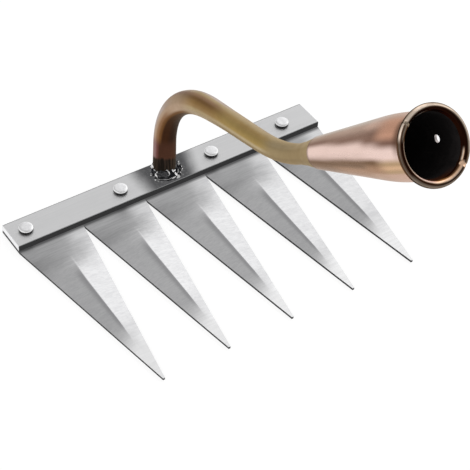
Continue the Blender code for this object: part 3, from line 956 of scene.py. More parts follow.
WELD_INNER = NECK_FOOT_DIAMETER / 2 + CLEARANCE
WELD_BOTTOM = BAR_TOP + CLEARANCE
WELD_SHAPE = (                  # degrees round the neck, then width and height of the bead in mm
    (0, 3.8, 6.0), (70, 2.6, 5.0), (130, 1.0, 5.5), (180, 0.7, 7.0), (235, 0.7, 9.5), (270, 1.1, 9.0),
    (290, 2.4, 8.0), (315, 4.0, 7.0), (345, 4.2, 6.5), (360, 3.8, 6.0))
WELD_UNEVENNESS = 0.05
WELD_RIPPLES = 13
WELD_LUMPS = 0.16
WELD_ROUNDING = 0.8             # the power that makes the bead's section full
WELD_FACETS = 288
WELD_ARC_STEPS = 14
DRIPS = (                       # from and to, as degrees round and up the bead, width in mm and shine
    (142, 88, 172, 82, 1.9, 0.85), (180, 82, 194, 76, 0.7, 0.4), (206, 70, 202, 48, 0.8, 0.9),
    (194, 34, 206, 16, 1.2, 1.0), (168, 12, 173, 2, 0.4, 0.6), (186, 2, 194, 8, 0.5, 0.5),
    (246, 88, 254, 75, 0.6, 0.9), (254, 75, 262, 40, 0.8, 0.8), (262, 40, 256, 24, 0.4, 0.4),
    (274, 72, 280, 46, 1.2, 1.0), (293, 78, 282, 62, 0.9, 1.0), (284, 46, 294, 18, 1.5, 1.0),
    (294, 18, 304, 2, 1.8, 1.0), (272, 5, 286, 16, 1.0, 0.9), (292, 2, 306, 2, 1.1, 0.9),
    (306, 66, 298, 32, 0.8, 0.45), (326, 34, 316, 4, 0.7, 0.35), (357, 58, 330, 74, 1.3, 0.25),
    (345, 32, 340, 24, 1.3, 1.0), (204, 2, 232, 6, 0.4, 0.45), (232, 6, 258, 6, 0.4, 0.5),
    (258, 6, 272, 12, 0.5, 0.4))
DRIP_STEPS = 8
DRIP_FACETS = 8
DRIP_WAVE = 0.0005
SMALL_DRIP_BEND = math.radians(150)
SMALL_DRIP_RADIUS = 0.0010
SMALL_DRIP_CENTRE = -0.0006
SMALL_DRIP_THICKNESS = 0.0005
SMALL_DRIP_SIZES = (0.6, 1.25)      # smallest and largest, as shares of the pattern
DROPLET_RADIUS = 0.0004
DROPLET_SIZES = (0.35, 1.3)
LANDING_FACETS = 96
LANDING_GAPS = (0.0002, 0.0013)     # where the bar's landing starts and ends beside the bead
LANDING_MARGIN = 0.0012
DRIP_DENSITY = 18000.0          # smaller drips on a square metre of the bead
SPATTER_DENSITY = 60000.0       # droplets on a square metre beside it

GLASSY_WELD = (0.012, 0.012, 0.013)
GREY_WELD = (0.034, 0.034, 0.036)
WRINKLE_HIGHLIGHT = (0.80, 0.80, 0.81)
WELD_GLINT = (0.45, 0.45, 0.46)
DRIP_HIGHLIGHT = (0.96, 0.95, 0.94)
DARK_DRIP = (0.05, 0.05, 0.05)
STAINED_DRIP = (0.10, 0.10, 0.10)


def away_from(tree, value, middle):
    """How far a value lies from a middle, on either side."""
    return calc(tree, "ABSOLUTE", calc(tree, "SUBTRACT", value, middle))


def build_weld_metal():
    """Dark glassy metal with thin painted highlights along its wrinkles."""
    material, tree, shader = start_material("weld_metal")
    place = own_place(tree)
    wrinkles = noise_at(tree, place, 520.0, 3.0, 0.6, 1.2)
    # Painted highlights: thin bright lines along the wrinkles
    highlight_thread = ease(tree, away_from(tree, wrinkles, 0.5), 0.030, 0.006)
    patches = smudges(tree, place, 190, 0.45, 0.62)
    dark = mix(tree, patches, GLASSY_WELD, GREY_WELD)
    colour = mix(tree, times(tree, highlight_thread, patches, 0.12), dark, WRINKLE_HIGHLIGHT)
    roughness = ease(tree, patches, 0.0, 1.0, 0.22, 0.34)
    feed(tree, shader.inputs["Specular Tint"], WELD_GLINT)
    set_surface(tree, shader, colour, roughness, 1.0, (wrinkles, 0.35, 0.0008))
    return material


def build_drip_metal():
    """Bright metal of the drips and droplets, its brightness partly a painted highlight, stained here
    and there.
    """
    material, tree, shader = start_material("bright_drips")
    patches = smudges(tree, own_place(tree), 420, 0.46, 0.70)
    # Painted highlight: the brighter drips stand in part for the bead's highlights
    toned = mix(tree, attribute(tree, "dullness"), DRIP_HIGHLIGHT, DARK_DRIP)
    colour = mix(tree, times(tree, patches, 0.6), toned, STAINED_DRIP)
    roughness = ease(tree, patches, 0.0, 1.0, 0.16, 0.30)
    set_surface(tree, shader, colour, roughness, 1.0, (patches, 0.2, 0.0003))
    return material


def weld_size(turn):
    """Width on the bar and height on the neck at a turn, eased between the places in WELD_SHAPE."""
    degrees = math.degrees(turn) % 360
    for (before, width, height), (after, next_width, next_height) in zip(WELD_SHAPE, WELD_SHAPE[1:]):
        if degrees <= after:
            share = smoothstep((degrees - before) / (after - before))
            width += (next_width - width) * share
            height += (next_height - height) * share
            return width / 1000, height / 1000


def weld_spot(turn, lift):
    """A spot on the bead's skin as (radius, height); lift turns from 0 on the bar up to the neck."""
    width, height = weld_size(turn)
    swell = 1 + WELD_UNEVENNESS * (math.cos(WELD_RIPPLES * turn) + 0.6 * math.sin(3 * turn))
    room = (BAR_WIDTH / 2 - BAR_EDGE_BEVEL) / max(abs(math.sin(turn)), 0.5) - WELD_INNER
    spot = Vector((math.cos(turn) * 9, math.sin(turn) * 9, lift * 4))
    lump = 1 + WELD_LUMPS * noise.noise(spot * 0.9) * math.sin(2 * lift)
    radius = WELD_INNER + min(width * swell, room) * lump * max(math.cos(lift), 0) ** WELD_ROUNDING
    return radius, WELD_BOTTOM + height * swell * lump * math.sin(lift) ** WELD_ROUNDING


def weld_section(turn):
    """The bead's outline at a turn, from the neck's foot out and up, as (radius, height)."""
    arc = [weld_spot(turn, math.pi / 2 * step / WELD_ARC_STEPS) for step in range(WELD_ARC_STEPS + 1)]
    return [(WELD_INNER, WELD_BOTTOM)] + arc


def add_section(bm, turn, outline):
    """Vertices along an outline of (radius, height) at a turn round the neck."""
    middle = Vector((NECK_OFFSET, 0, 0))
    spoke = Vector((math.cos(turn), math.sin(turn), 0))
    return [bm.verts.new(middle + spoke * radius + Vector((0, 0, height))) for radius, height in outline]


def build_weld(materials):
    """The bead as a closed ring of sections."""
    bm = bmesh.new()
    sections = []
    for facet in range(WELD_FACETS):
        turn = math.tau * facet / WELD_FACETS
        sections.append(add_section(bm, turn, weld_section(turn)))
    for near, far in zip(sections, sections[1:] + sections[:1]):
        for k in range(len(near)):
            after = (k + 1) % len(near)
            bm.faces.new((near[k], far[k], far[after], near[after]))
    return finish_mesh("weld", bm, materials, 60)


def add_worm(bm, points, thickness):
    """A short rod with soft ends through the points."""
    steps = len(points)
    rings = []
    for number, point in enumerate(points):
        share = number / (steps - 1)
        ahead = (points[min(number + 1, steps - 1)] - points[max(number - 1, 0)]).normalized()
        across = ahead.orthogonal().normalized()
        over = ahead.cross(across)
        thick = thickness / 2 * math.sin(math.pi * (0.10 + 0.80 * share)) ** 0.6
        ring = []
        for facet in range(DRIP_FACETS):
            turn = math.tau * facet / DRIP_FACETS
            ring.append(bm.verts.new(point + (across * math.cos(turn) + over * math.sin(turn)) * thick))
        rings.append(ring)
    faces = [bm.faces.new(rings[0]), bm.faces.new(list(reversed(rings[-1])))]
    for near, far in zip(rings, rings[1:]):
        for facet in range(DRIP_FACETS):
            after = (facet + 1) % DRIP_FACETS
            faces.append(bm.faces.new((near[facet], near[after], far[after], far[facet])))
    return faces


def build_drip_pattern():
    """One small bright drip: a short bent worm."""
    bm = bmesh.new()
    points = []
    for step in range(DRIP_STEPS + 1):
        bend = SMALL_DRIP_BEND * (step / DRIP_STEPS - 0.5)
        points.append(Vector((math.cos(bend) * SMALL_DRIP_RADIUS + SMALL_DRIP_CENTRE,
                              math.sin(bend) * SMALL_DRIP_RADIUS, 0)))
    add_worm(bm, points, SMALL_DRIP_THICKNESS)
    return finish_mesh("drip_pattern", bm, [], 80)


def build_drips(materials):
    """The large drips, each laid on the bead's skin from one place to another."""
    bm = bmesh.new()
    dullness = bm.faces.layers.float.new("dullness")
    for start, low, end, high, width, shine in DRIPS:
        points = []
        for step in range(DRIP_STEPS + 1):
            share = step / DRIP_STEPS
            turn = math.radians(start + (end - start) * share)
            lift = math.radians(low + (high - low) * share)
            radius, height = weld_spot(turn, lift)
            turn += noise.noise(Vector((start, low, share * 2.5))) * DRIP_WAVE / radius
            points.append(Vector((NECK_OFFSET + math.cos(turn) * radius,
                                  math.sin(turn) * radius, height)))
        for face in add_worm(bm, points, width / 1000):
            face[dullness] = 1 - shine
    return finish_mesh("weld_drips", bm, materials, 80)


def build_landing():
    """Where drips and droplets land: the bead's outer skin, and the bar beside it, marked apart."""
    bm = bmesh.new()
    on_bead = bm.faces.layers.float.new("on_bead")
    sections = []
    for facet in range(LANDING_FACETS):
        turn = math.tau * facet / LANDING_FACETS
        skin = weld_section(turn)[1:-2]
        room = (BAR_WIDTH / 2 - LANDING_MARGIN) / max(abs(math.sin(turn)), 0.1)
        beside = [(min(skin[0][0] + gap, room), BAR_TOP) for gap in LANDING_GAPS]
        sections.append(add_section(bm, turn, skin + beside))
    for near, far in zip(sections, sections[1:] + sections[:1]):
        for k in range(len(near) - 3):
            face = bm.faces.new((near[k], far[k], far[k + 1], near[k + 1]))
            face[on_bead] = 1.0
        bm.faces.new((near[-2], near[-1], far[-1], far[-2]))
    bm.normal_update()
    landing = add_piece("landing", bm)
    landing.name = "weld_spatter"
    return landing


def build_spatter_form():
    """Geometry Nodes: bent drips on the bead and droplets beside it, at random sizes and turns."""
    tree, given, wanted = start_form(
        "weld spatter", Drip="Object", Drip_Density="Float", Droplet_Density="Float",
        Droplet_Radius="Float", Seed="Int", Metal="Material")
    bead = put(tree, "GeometryNodeInputNamedAttribute", {"data_type": "FLOAT"}, Name="on_bead")
    on_bead = bead.outputs["Attribute"]
    drip = put(tree, "GeometryNodeObjectInfo", Object=given["Drip"])
    droplet = put(tree, "GeometryNodeMeshIcoSphere", Radius=given["Droplet Radius"], Subdivisions=2)
    joined = put(tree, "GeometryNodeJoinGeometry")
    beside = calc(tree, "SUBTRACT", 1.0, on_bead)
    kinds = ((on_bead, given["Drip Density"], drip.outputs["Geometry"], SMALL_DRIP_SIZES),
             (beside, given["Droplet Density"], droplet.outputs["Mesh"], DROPLET_SIZES))
    for number, (where, density, pattern, (small, large)) in enumerate(kinds):
        seed = calc(tree, "ADD", given["Seed"], float(number))
        points = put(tree, "GeometryNodeDistributePointsOnFaces", Mesh=given["Geometry"],
                     Density=times(tree, where, density), Seed=seed)
        turn = put(tree, "FunctionNodeRotateRotation", {"rotation_space": "LOCAL"},
                   Rotation=points.outputs["Rotation"],
                   Rotate_By=random_turn(tree, seed, (0.5, 0.5, math.tau)))
        size = put(tree, "FunctionNodeRandomValue", {"data_type": "FLOAT"}, Seed=seed)
        size.inputs[2].default_value = small
        size.inputs[3].default_value = large
        placed = put(tree, "GeometryNodeInstanceOnPoints", Points=points.outputs["Points"],
                     Instance=pattern, Rotation=turn.outputs[0], Scale=size.outputs[1])
        tree.links.new(placed.outputs["Instances"], joined.inputs[0])
    end_form(tree, joined.outputs["Geometry"], given["Metal"], wanted, rounded=True)
    return tree


weld_metal = build_weld_metal()
drip_metal = build_drip_metal()
weld = build_weld([weld_metal])
weld.visible_glossy = False
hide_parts("neck_weld")
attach(weld, "root")
drip_pattern = build_drip_pattern()
spatter = build_landing()
form_mesh(spatter, build_spatter_form(), {
    "Drip": drip_pattern, "Drip Density": DRIP_DENSITY, "Droplet Density": SPATTER_DENSITY,
    "Droplet Radius": DROPLET_RADIUS, "Seed": 13, "Metal": drip_metal})
bpy.data.objects.remove(drip_pattern, do_unlink=True)
drips = build_drips([drip_metal])
drips.visible_glossy = False
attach(drips, "root")
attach(spatter, "root")


# Handle socket. A steel tube drawn to a cone, open at a rolled rim and closed round the neck's
# shoulder. Lacquered copper over polished steel, its bands of tone painted reflections, with
# painted highlights and shade on the rim and painted shade just behind it; dark scale inside,
# darkened further as painted shade, with a painted copper reflection low behind the rim; a nail
# hole in one side wall, and a seam that crosses the rim at two opposite spots.

SOCKET_LENGTH = 0.119
SOCKET_BODY_DIAMETER = 0.0378
SOCKET_BODY_LENGTH = 0.034
SOCKET_BODY_BLEND = 0.010
SOCKET_FLARE_LENGTH = 0.006
SOCKET_FLARE = 0.0011
RIM_RADIUS = 0.002
RIM_DIAMETER = 0.0454
RIM_TURNS = range(-105, 166, 10)        # degrees over the rim from its outermost line
RIM_GROOVE = 0.10               # share of the rim's radius
RIM_GROOVE_PLACE = 118          # degrees over the rim
RIM_GROOVE_SPREAD = 16
NAIL_HOLE_DIAMETER = 0.0046
NAIL_HOLE_DEPTH = 0.0235
NAIL_HOLE_TURN = math.radians(-5.0)
SOCKET_FACETS = 160
SOCKET_ROWS = 28
FLARE_ROWS = 8
SEAM_TURNS = (127, 311)         # degrees round the socket
SEAM_REACH = 0.0044             # how far below the mouth it is rough
SEAM_SPREAD = 2.6               # degrees
SEAM_GRAIN = 1400
SEAM_LUMPS = 0.0007
SEAM_DEPTH = 0.0003

PALE_ROSE = (0.83, 0.63, 0.57)
ROSE_GREY = (0.48, 0.42, 0.37)
FAWN = (0.55, 0.44, 0.39)
DUSTY_PINK = (0.50, 0.33, 0.24)
ROSE = (0.47, 0.32, 0.255)
BLUSH = (0.57, 0.38, 0.30)
DUSTY_BROWN = (0.37, 0.25, 0.19)
ROSE_TAUPE = (0.43, 0.295, 0.235)
SALMON = (0.74, 0.40, 0.27)
PEACH = (0.66, 0.42, 0.25)
SAND = (0.45, 0.30, 0.17)
TAN = (0.37, 0.21, 0.125)
TOBACCO = (0.23, 0.125, 0.07)
MAUVE = (0.21, 0.115, 0.085)
BROWN = (0.165, 0.088, 0.045)
PAINTED_SHADE_BROWN = (0.10, 0.045, 0.026)
PAINTED_CREASE_SHADE_BROWN = (0.042, 0.018, 0.010)
END_BROWN = (0.11, 0.06, 0.03)
LACQUER_GLINT = (0.86, 0.79, 0.73)


def round_socket(*stops):
    """Colour stops given in degrees round the socket from its right side, as shares of a turn."""
    return [(degrees / 360, colour) for degrees, colour in stops]


# Painted reflections: the pale and brown bands round the socket stand for what it would reflect
END_BANDS = round_socket(
    (0, ROSE), (60, TAN), (100, ROSE_GREY), (117, DUSTY_BROWN), (134, MAUVE), (153, PALE_ROSE),
    (171, PALE_ROSE), (192, BROWN), (215, TOBACCO), (255, ROSE), (300, BROWN), (360, ROSE))
MIDDLE_BANDS = round_socket(
    (0, ROSE), (60, TAN), (100, ROSE_GREY), (116, ROSE_TAUPE), (140, MAUVE), (158, PALE_ROSE),
    (173, PALE_ROSE), (187, BROWN), (193, BROWN), (205, TAN), (216, TAN), (240, ROSE), (300, BROWN),
    (360, ROSE))
SHOULDER_BANDS = round_socket(
    (0, ROSE), (60, TAN), (102, FAWN), (118, BLUSH), (138, MAUVE), (146, MAUVE), (166, PALE_ROSE),
    (174, PALE_ROSE), (186, BROWN), (200, TAN), (205, TAN), (213, DUSTY_PINK), (240, ROSE), (300, BROWN),
    (360, ROSE))
MOUTH_BANDS = round_socket(
    (0, SALMON), (60, TAN), (100, BLUSH), (118, SALMON), (140, SALMON), (155, MAUVE), (168, PALE_ROSE),
    (177, PALE_ROSE), (191, SAND), (198, PEACH), (206, SAND), (214, BLUSH), (240, BLUSH), (300, BROWN),
    (360, SALMON))
BAND_CHANGES = (                # where each set starts and is full along the socket
    (0.020, 0.050, MIDDLE_BANDS), (0.066, 0.080, SHOULDER_BANDS), (0.082, 0.098, MOUTH_BANDS))


def socket_radius(height):
    """Outer radius of the socket: straight taper, blend, straight body."""
    body_start = SOCKET_LENGTH - SOCKET_BODY_LENGTH
    body = SOCKET_BODY_DIAMETER / 2
    slope = (body - SOCKET_END_DIAMETER / 2) / body_start
    taper = SOCKET_END_DIAMETER / 2 + slope * height
    past_blend = height - (body_start - SOCKET_BODY_BLEND)
    if past_blend <= 0:
        return taper
    if height < body_start + SOCKET_BODY_BLEND:
        return taper - slope * past_blend ** 2 / (4 * SOCKET_BODY_BLEND)
    return body


def socket_profile():
    """Half section of the wall, up the outside, round the rim and down the inside, with a material
    number for each of its edges: 0 outside, 1 rim, 2 inside."""
    rim_height = SOCKET_LENGTH - RIM_RADIUS
    flare_start = rim_height - SOCKET_FLARE_LENGTH
    rim_middle = RIM_DIAMETER / 2 - RIM_RADIUS
    body = SOCKET_BODY_DIAMETER / 2
    heights = [flare_start * row / SOCKET_ROWS for row in range(SOCKET_ROWS + 1)]
    outside = [(socket_radius(height), height) for height in heights]
    for row in range(1, FLARE_ROWS + 1):
        share = row / FLARE_ROWS
        outside.append((body + SOCKET_FLARE * share ** 2,
                        flare_start + (SOCKET_FLARE_LENGTH - RIM_RADIUS / 2) * share))
    rim = []
    for degrees in RIM_TURNS:
        turn = math.radians(degrees)
        groove = 1 - RIM_GROOVE * math.exp(-((degrees - RIM_GROOVE_PLACE) / RIM_GROOVE_SPREAD) ** 2)
        rim.append((rim_middle + RIM_RADIUS * groove * math.cos(turn),
                    rim_height + RIM_RADIUS * groove * math.sin(turn)))
    lip = rim_middle - RIM_RADIUS
    bore = body - SOCKET_WALL
    inside = []
    for row in range(FLARE_ROWS):
        share = 1 - row / FLARE_ROWS
        inside.append((bore + (lip - bore) * share ** 2, flare_start + SOCKET_FLARE_LENGTH * share))
    inside += [(socket_radius(height) - SOCKET_WALL, height) for height in reversed(heights)]
    slots = [0] * len(outside) + [1] * (len(rim) + 2) + [2] * (len(inside) - 3) + [0]
    return outside + rim + inside, slots


def length_of(tree, vector):
    """The length of a vector."""
    node = put(tree, "ShaderNodeVectorMath", {"operation": "LENGTH"})
    tree.links.new(vector, node.inputs[0])
    return node.outputs["Value"]


def socket_coordinates(tree, origin, heading):
    """The place on the socket, with X to its right side and Z towards its mouth, the turn round it
    and the height along it."""
    local = put(tree, "ShaderNodeMapping", {"vector_type": "TEXTURE"}, Vector=own_place(tree),
                Location=tuple(origin), Rotation=(heading, 0, 0)).outputs["Vector"]
    split = axes(tree, local)
    turn = turn_of(tree, times(tree, split["Y"], -1.0), times(tree, split["X"], -1.0))
    return local, turn, split["Z"]


def build_copper(origin, heading):
    """Polished copper lacquer: bands of tone along the socket that are painted reflections, streaks,
    faint scuffs, and painted shade behind the rim.
    """
    material, tree, shader = start_material("copper_lacquer")
    local, turn, height = socket_coordinates(tree, origin, heading)
    drift = noise_at(tree, stretched(tree, local, (90, 90, 9)), 1.0, 3.0, 0.5)
    shifted = calc(tree, "MULTIPLY_ADD", calc(tree, "SUBTRACT", drift, 0.5), 0.025, turn)
    patches = smudges(tree, local, 35, 0.40, 0.70)
    # Painted shade: brown on the upper left of the body just behind the rim
    painted_rim_shade = times(tree, window(tree, turn, (0.29, 0.335), (0.53, 0.42)),
                    ease(tree, height, SOCKET_LENGTH - 0.0155, SOCKET_LENGTH - 0.0090), 0.8)
    # Painted shade: dark in the crease just behind the rolled rim
    painted_crease_shade = ease(tree, height, SOCKET_LENGTH - 0.0072, SOCKET_LENGTH - 0.0040)
    burnt_end = ease(tree, height, 0.0030, 0.0004)
    colour = layered(
        tree, banded(tree, shifted, height, END_BANDS, *BAND_CHANGES),
        (times(tree, patches, 0.10), ROSE),
        (painted_rim_shade, PAINTED_SHADE_BROWN),
        (painted_crease_shade, PAINTED_CREASE_SHADE_BROWN),
        (times(tree, burnt_end, 0.6), END_BROWN))
    marks = grain(tree, local, (700, 700, 60))
    roughness = calc(tree, "MULTIPLY_ADD", marks["Shade"], 0.06, 0.26)
    feed(tree, shader.inputs["Specular Tint"], LACQUER_GLINT)
    set_surface(tree, shader, colour, roughness, 1.0, (marks["Height"], 0.04, 0.0003))
    return material


RIM_DEEP_SHADE = (0.009, 0.004, 0.003)
RIM_SHADE_AND_STAIN = (0.020, 0.006, 0.003)
UMBER = (0.10, 0.05, 0.025)
RUSSET = (0.17, 0.10, 0.065)
DRAB = (0.21, 0.165, 0.13)
DULL_OLIVE = (0.30, 0.24, 0.18)
DULL_GOLD = (0.50, 0.41, 0.34)
PALE_GOLD = (0.90, 0.72, 0.57)
BRIGHT_GOLD = (1.00, 0.82, 0.68)
COPPER_GLOW = (1.00, 0.67, 0.46)
ORANGE_GLOW = (0.52, 0.29, 0.16)
PINK_GLOW = (1.00, 0.63, 0.55)
DARK_GLINT = (0.30, 0.22, 0.16)
BRIGHT_GLINT = (1.0, 0.89, 0.78)

# Shares of a turn over the rim: 0.5 at the outermost line, 0.75 in front, 0 and 1 innermost.
# The tones over the rim are painted light: bright painted highlights on its crests and dark
# painted shade between them, changing round the socket.
RIM_RIGHT = (
    (0.00, RIM_SHADE_AND_STAIN), (0.42, RIM_SHADE_AND_STAIN), (0.50, DULL_GOLD), (0.70, DULL_GOLD), (0.75, DULL_OLIVE), (0.79, RIM_SHADE_AND_STAIN))
RIM_UPPER_RIGHT = (
    (0.00, RIM_SHADE_AND_STAIN), (0.44, RIM_SHADE_AND_STAIN), (0.50, UMBER), (0.56, RUSSET), (0.62, DULL_OLIVE), (0.665, DULL_GOLD),
    (0.71, PALE_GOLD), (0.755, RUSSET), (0.79, RIM_SHADE_AND_STAIN))
RIM_TOP = (
    (0.00, RIM_DEEP_SHADE), (0.44, RIM_SHADE_AND_STAIN), (0.50, UMBER), (0.55, DULL_OLIVE), (0.60, PALE_GOLD),
    (0.65, BRIGHT_GOLD), (0.71, BRIGHT_GOLD), (0.75, DULL_OLIVE), (0.785, RIM_SHADE_AND_STAIN), (0.83, RIM_DEEP_SHADE))
RIM_CORNER = (
    (0.00, RIM_SHADE_AND_STAIN), (0.46, RIM_SHADE_AND_STAIN), (0.51, UMBER), (0.55, DULL_GOLD), (0.58, BRIGHT_GOLD),
    (0.635, BRIGHT_GOLD), (0.66, RUSSET), (0.69, UMBER), (0.74, DRAB), (0.80, DRAB), (0.86, UMBER),
    (0.93, RIM_SHADE_AND_STAIN))
RIM_LEFT = (
    (0.00, RIM_SHADE_AND_STAIN), (0.38, RIM_SHADE_AND_STAIN), (0.44, RUSSET), (0.50, RUSSET), (0.56, UMBER), (0.61, DRAB),
    (0.655, RUSSET), (0.70, RIM_SHADE_AND_STAIN), (0.80, RIM_SHADE_AND_STAIN), (0.83, UMBER), (0.875, DULL_GOLD), (0.95, DULL_GOLD),
    (1.00, RIM_SHADE_AND_STAIN))
RIM_LOWER_LEFT = (
    (0.00, ORANGE_GLOW), (0.035, RUSSET), (0.075, RIM_SHADE_AND_STAIN), (0.50, RIM_SHADE_AND_STAIN), (0.62, DRAB), (0.70, DRAB),
    (0.73, UMBER), (0.76, RIM_SHADE_AND_STAIN), (0.80, RIM_SHADE_AND_STAIN), (0.835, RUSSET), (0.87, DULL_GOLD), (0.90, PINK_GLOW),
    (0.96, PINK_GLOW))
RIM_BOTTOM = (
    (0.00, ORANGE_GLOW), (0.04, RUSSET), (0.10, RIM_SHADE_AND_STAIN), (0.50, RIM_SHADE_AND_STAIN), (0.58, DRAB), (0.69, DRAB),
    (0.74, RIM_SHADE_AND_STAIN), (0.79, UMBER), (0.82, DULL_OLIVE), (0.85, COPPER_GLOW), (0.885, COPPER_GLOW),
    (0.94, ORANGE_GLOW))
RIM_LOWER_RIGHT = (
    (0.00, UMBER), (0.05, RIM_SHADE_AND_STAIN), (0.50, RIM_SHADE_AND_STAIN), (0.58, DRAB), (0.68, DRAB), (0.735, RIM_SHADE_AND_STAIN),
    (0.77, UMBER), (0.80, DULL_GOLD), (0.825, COPPER_GLOW), (0.88, COPPER_GLOW), (0.92, ORANGE_GLOW),
    (0.955, RUSSET), (0.98, UMBER))
RIM_UNDER_SEAM = (
    (0.00, DULL_GOLD), (0.03, RUSSET), (0.06, RIM_SHADE_AND_STAIN), (0.50, RIM_SHADE_AND_STAIN), (0.61, DULL_OLIVE),
    (0.70, DULL_OLIVE), (0.75, UMBER), (0.79, RIM_SHADE_AND_STAIN), (0.88, RIM_SHADE_AND_STAIN), (0.91, RUSSET),
    (0.935, COPPER_GLOW), (0.97, PALE_GOLD))
RIM_CHANGES = (                 # degrees round the socket, half the blend there, and what follows
    (40, 8, RIM_UPPER_RIGHT), (84, 12, RIM_TOP), (126, 4, RIM_CORNER), (153, 6, RIM_LEFT),
    (210, 7, RIM_LOWER_LEFT), (250, 10, RIM_BOTTOM), (272, 10, RIM_LOWER_RIGHT),
    (316, 3, RIM_UNDER_SEAM), (334, 7, RIM_RIGHT))
# The seam's tones are painted light: a dark break in the rim's painted highlight at one crossing, a
# bright painted highlight at the other
SEAM_PAINTED_TONES = ((3.0, DULL_OLIVE), (4.0, COPPER_GLOW))    # degrees on each side, and the tone


def build_rim_copper(origin, heading):
    """The rolled rim: dark brown painted shade with bright painted highlights on its crests."""
    material, tree, shader = start_material("burnt_copper_rim")
    local, turn, height = socket_coordinates(tree, origin, heading)
    radius = length_of(tree, stretched(tree, local, (1, 1, 0)))
    outward = calc(tree, "SUBTRACT", radius, RIM_DIAMETER / 2 - RIM_RADIUS)
    upward = calc(tree, "SUBTRACT", height, SOCKET_LENGTH - RIM_RADIUS)
    roll = turn_of(tree, upward, outward)
    changes = [((degrees - blend) / 360, (degrees + blend) / 360, stops)
               for degrees, blend, stops in RIM_CHANGES]
    bands = banded(tree, roll, turn, RIM_RIGHT, *changes)
    front = ease(tree, roll, 0.56, 0.62)
    for degrees, (spread, tone) in zip(SEAM_TURNS, SEAM_PAINTED_TONES):
        away = away_from(tree, turn, degrees / 360)
        bands = mix(tree, times(tree, ease(tree, away, spread / 360, spread / 720), front), bands, tone)
    patches = smudges(tree, local, 120, 0.46, 0.66)
    colour = mix(tree, times(tree, patches, 0.16), bands, RIM_SHADE_AND_STAIN)
    lightness = put(tree, "ShaderNodeRGBToBW", Color=bands).outputs["Val"]
    # Painted light: the darkest painted shade is less metallic, and the bright painted highlights at the
    # lower left less metallic still, so that both keep their painted tone
    metal_by_tone = ease(tree, lightness, 0.02, 0.22, 0.5, 1.0)
    low_left = window(tree, turn, (0.56, 0.61), (0.72, 0.68))
    matt_painted_highlight = times(tree, ease(tree, lightness, 0.42, 0.70), low_left)
    metallic = times(tree, metal_by_tone, calc(tree, "MULTIPLY_ADD", matt_painted_highlight, -0.6, 1.0))
    glint = mix(tree, ease(tree, lightness, 0.30, 0.75), DARK_GLINT, BRIGHT_GLINT)
    feed(tree, shader.inputs["Specular Tint"], glint)
    feed(tree, shader.inputs["Specular IOR Level"], 0.0)
    roughness = ease(tree, patches, 0.0, 1.0, 0.20, 0.32)
    set_surface(tree, shader, colour, roughness, metallic, (patches, 0.15, 0.0004))
    return material


BLACK_SCALE = (0.024, 0.021, 0.021)
GREY_SCALE = (0.036, 0.031, 0.031)
PAINTED_COPPER_REFLECTION = (0.060, 0.018, 0.008)
DRILLED_STEEL = (0.40, 0.36, 0.35)
BRIGHT_DRILLED_STEEL = (0.55, 0.50, 0.48)


def build_socket_scale(origin, heading):
    """Black scale inside the socket, without reflection so that it is darkened further as painted
    shade, with a painted copper reflection low down just behind the rim.
    """
    material, tree, shader = start_material("socket_scale")
    local, turn, height = socket_coordinates(tree, origin, heading)
    patches = smudges(tree, local, 90, 0.40, 0.66)
    # Painted reflection: copper low down just behind the rim
    below = ease(tree, away_from(tree, turn, 0.72), 0.14, 0.04)
    painted_copper_reflection = ease(tree, height, SOCKET_LENGTH - 0.0100, SOCKET_LENGTH - 0.0040)
    # Scale, kept black and without reflection so that it is darkened further as painted shade
    black = mix(tree, patches, BLACK_SCALE, GREY_SCALE)
    colour = mix(tree, times(tree, painted_copper_reflection, below), black, PAINTED_COPPER_REFLECTION)
    roughness = ease(tree, patches, 0.0, 1.0, 0.5, 0.7)
    feed(tree, shader.inputs["Specular IOR Level"], 0.0)
    set_surface(tree, shader, colour, roughness, 0.0, (patches, 0.3, 0.0004))
    return material


def build_drilled_steel():
    """Bare steel in the wall of the drilled hole, with fine rings."""
    material, tree, shader = start_material("drilled_steel")
    rings = grain(tree, own_place(tree), (3000, 300, 300))
    colour = mix(tree, rings["Shade"], DRILLED_STEEL, BRIGHT_DRILLED_STEEL)
    set_surface(tree, shader, colour, 0.5, 1.0, (rings["Height"], 0.1, 0.0002))
    return material


def roughen_seams(socket):
    """Pit the rim where the seam crosses it."""
    for vert in socket.data.vertices:
        if vert.co.z < SOCKET_LENGTH - SEAM_REACH:
            continue
        degrees = math.degrees(math.atan2(vert.co.y, vert.co.x)) % 360
        for seam in SEAM_TURNS:
            near = math.exp(-((degrees - seam) / SEAM_SPREAD) ** 2)
            lump = noise.noise(vert.co * SEAM_GRAIN) * SEAM_LUMPS - SEAM_DEPTH
            vert.co.x += math.cos(math.radians(degrees)) * lump * near
            vert.co.y += math.sin(math.radians(degrees)) * lump * near
            vert.co.z += min(lump, 0) * near


def nail_hole_cutter(materials):
    """A round bar through the right side wall, in the drilled steel, the last material."""
    bm = bmesh.new()
    radius = NAIL_HOLE_DIAMETER / 2
    bmesh.ops.create_cone(bm, cap_ends=True, segments=HOLE_FACETS, radius1=radius, radius2=radius,
                          depth=SOCKET_BODY_DIAMETER)
    bmesh.ops.rotate(bm, verts=bm.verts, cent=(0, 0, 0), matrix=Matrix.Rotation(math.pi / 2, 3, "Y"))
    bmesh.ops.translate(bm, verts=bm.verts, vec=(SOCKET_BODY_DIAMETER / 2 + radius, 0, 0))
    bmesh.ops.rotate(bm, verts=bm.verts, cent=(0, 0, 0), matrix=Matrix.Rotation(NAIL_HOLE_TURN, 3, "Z"))
    bmesh.ops.translate(bm, verts=bm.verts, vec=(0, 0, SOCKET_LENGTH - NAIL_HOLE_DEPTH))
    for face in bm.faces:
        face.material_index = len(materials) - 1
    return finish_mesh("nail_hole", bm, materials, 30)


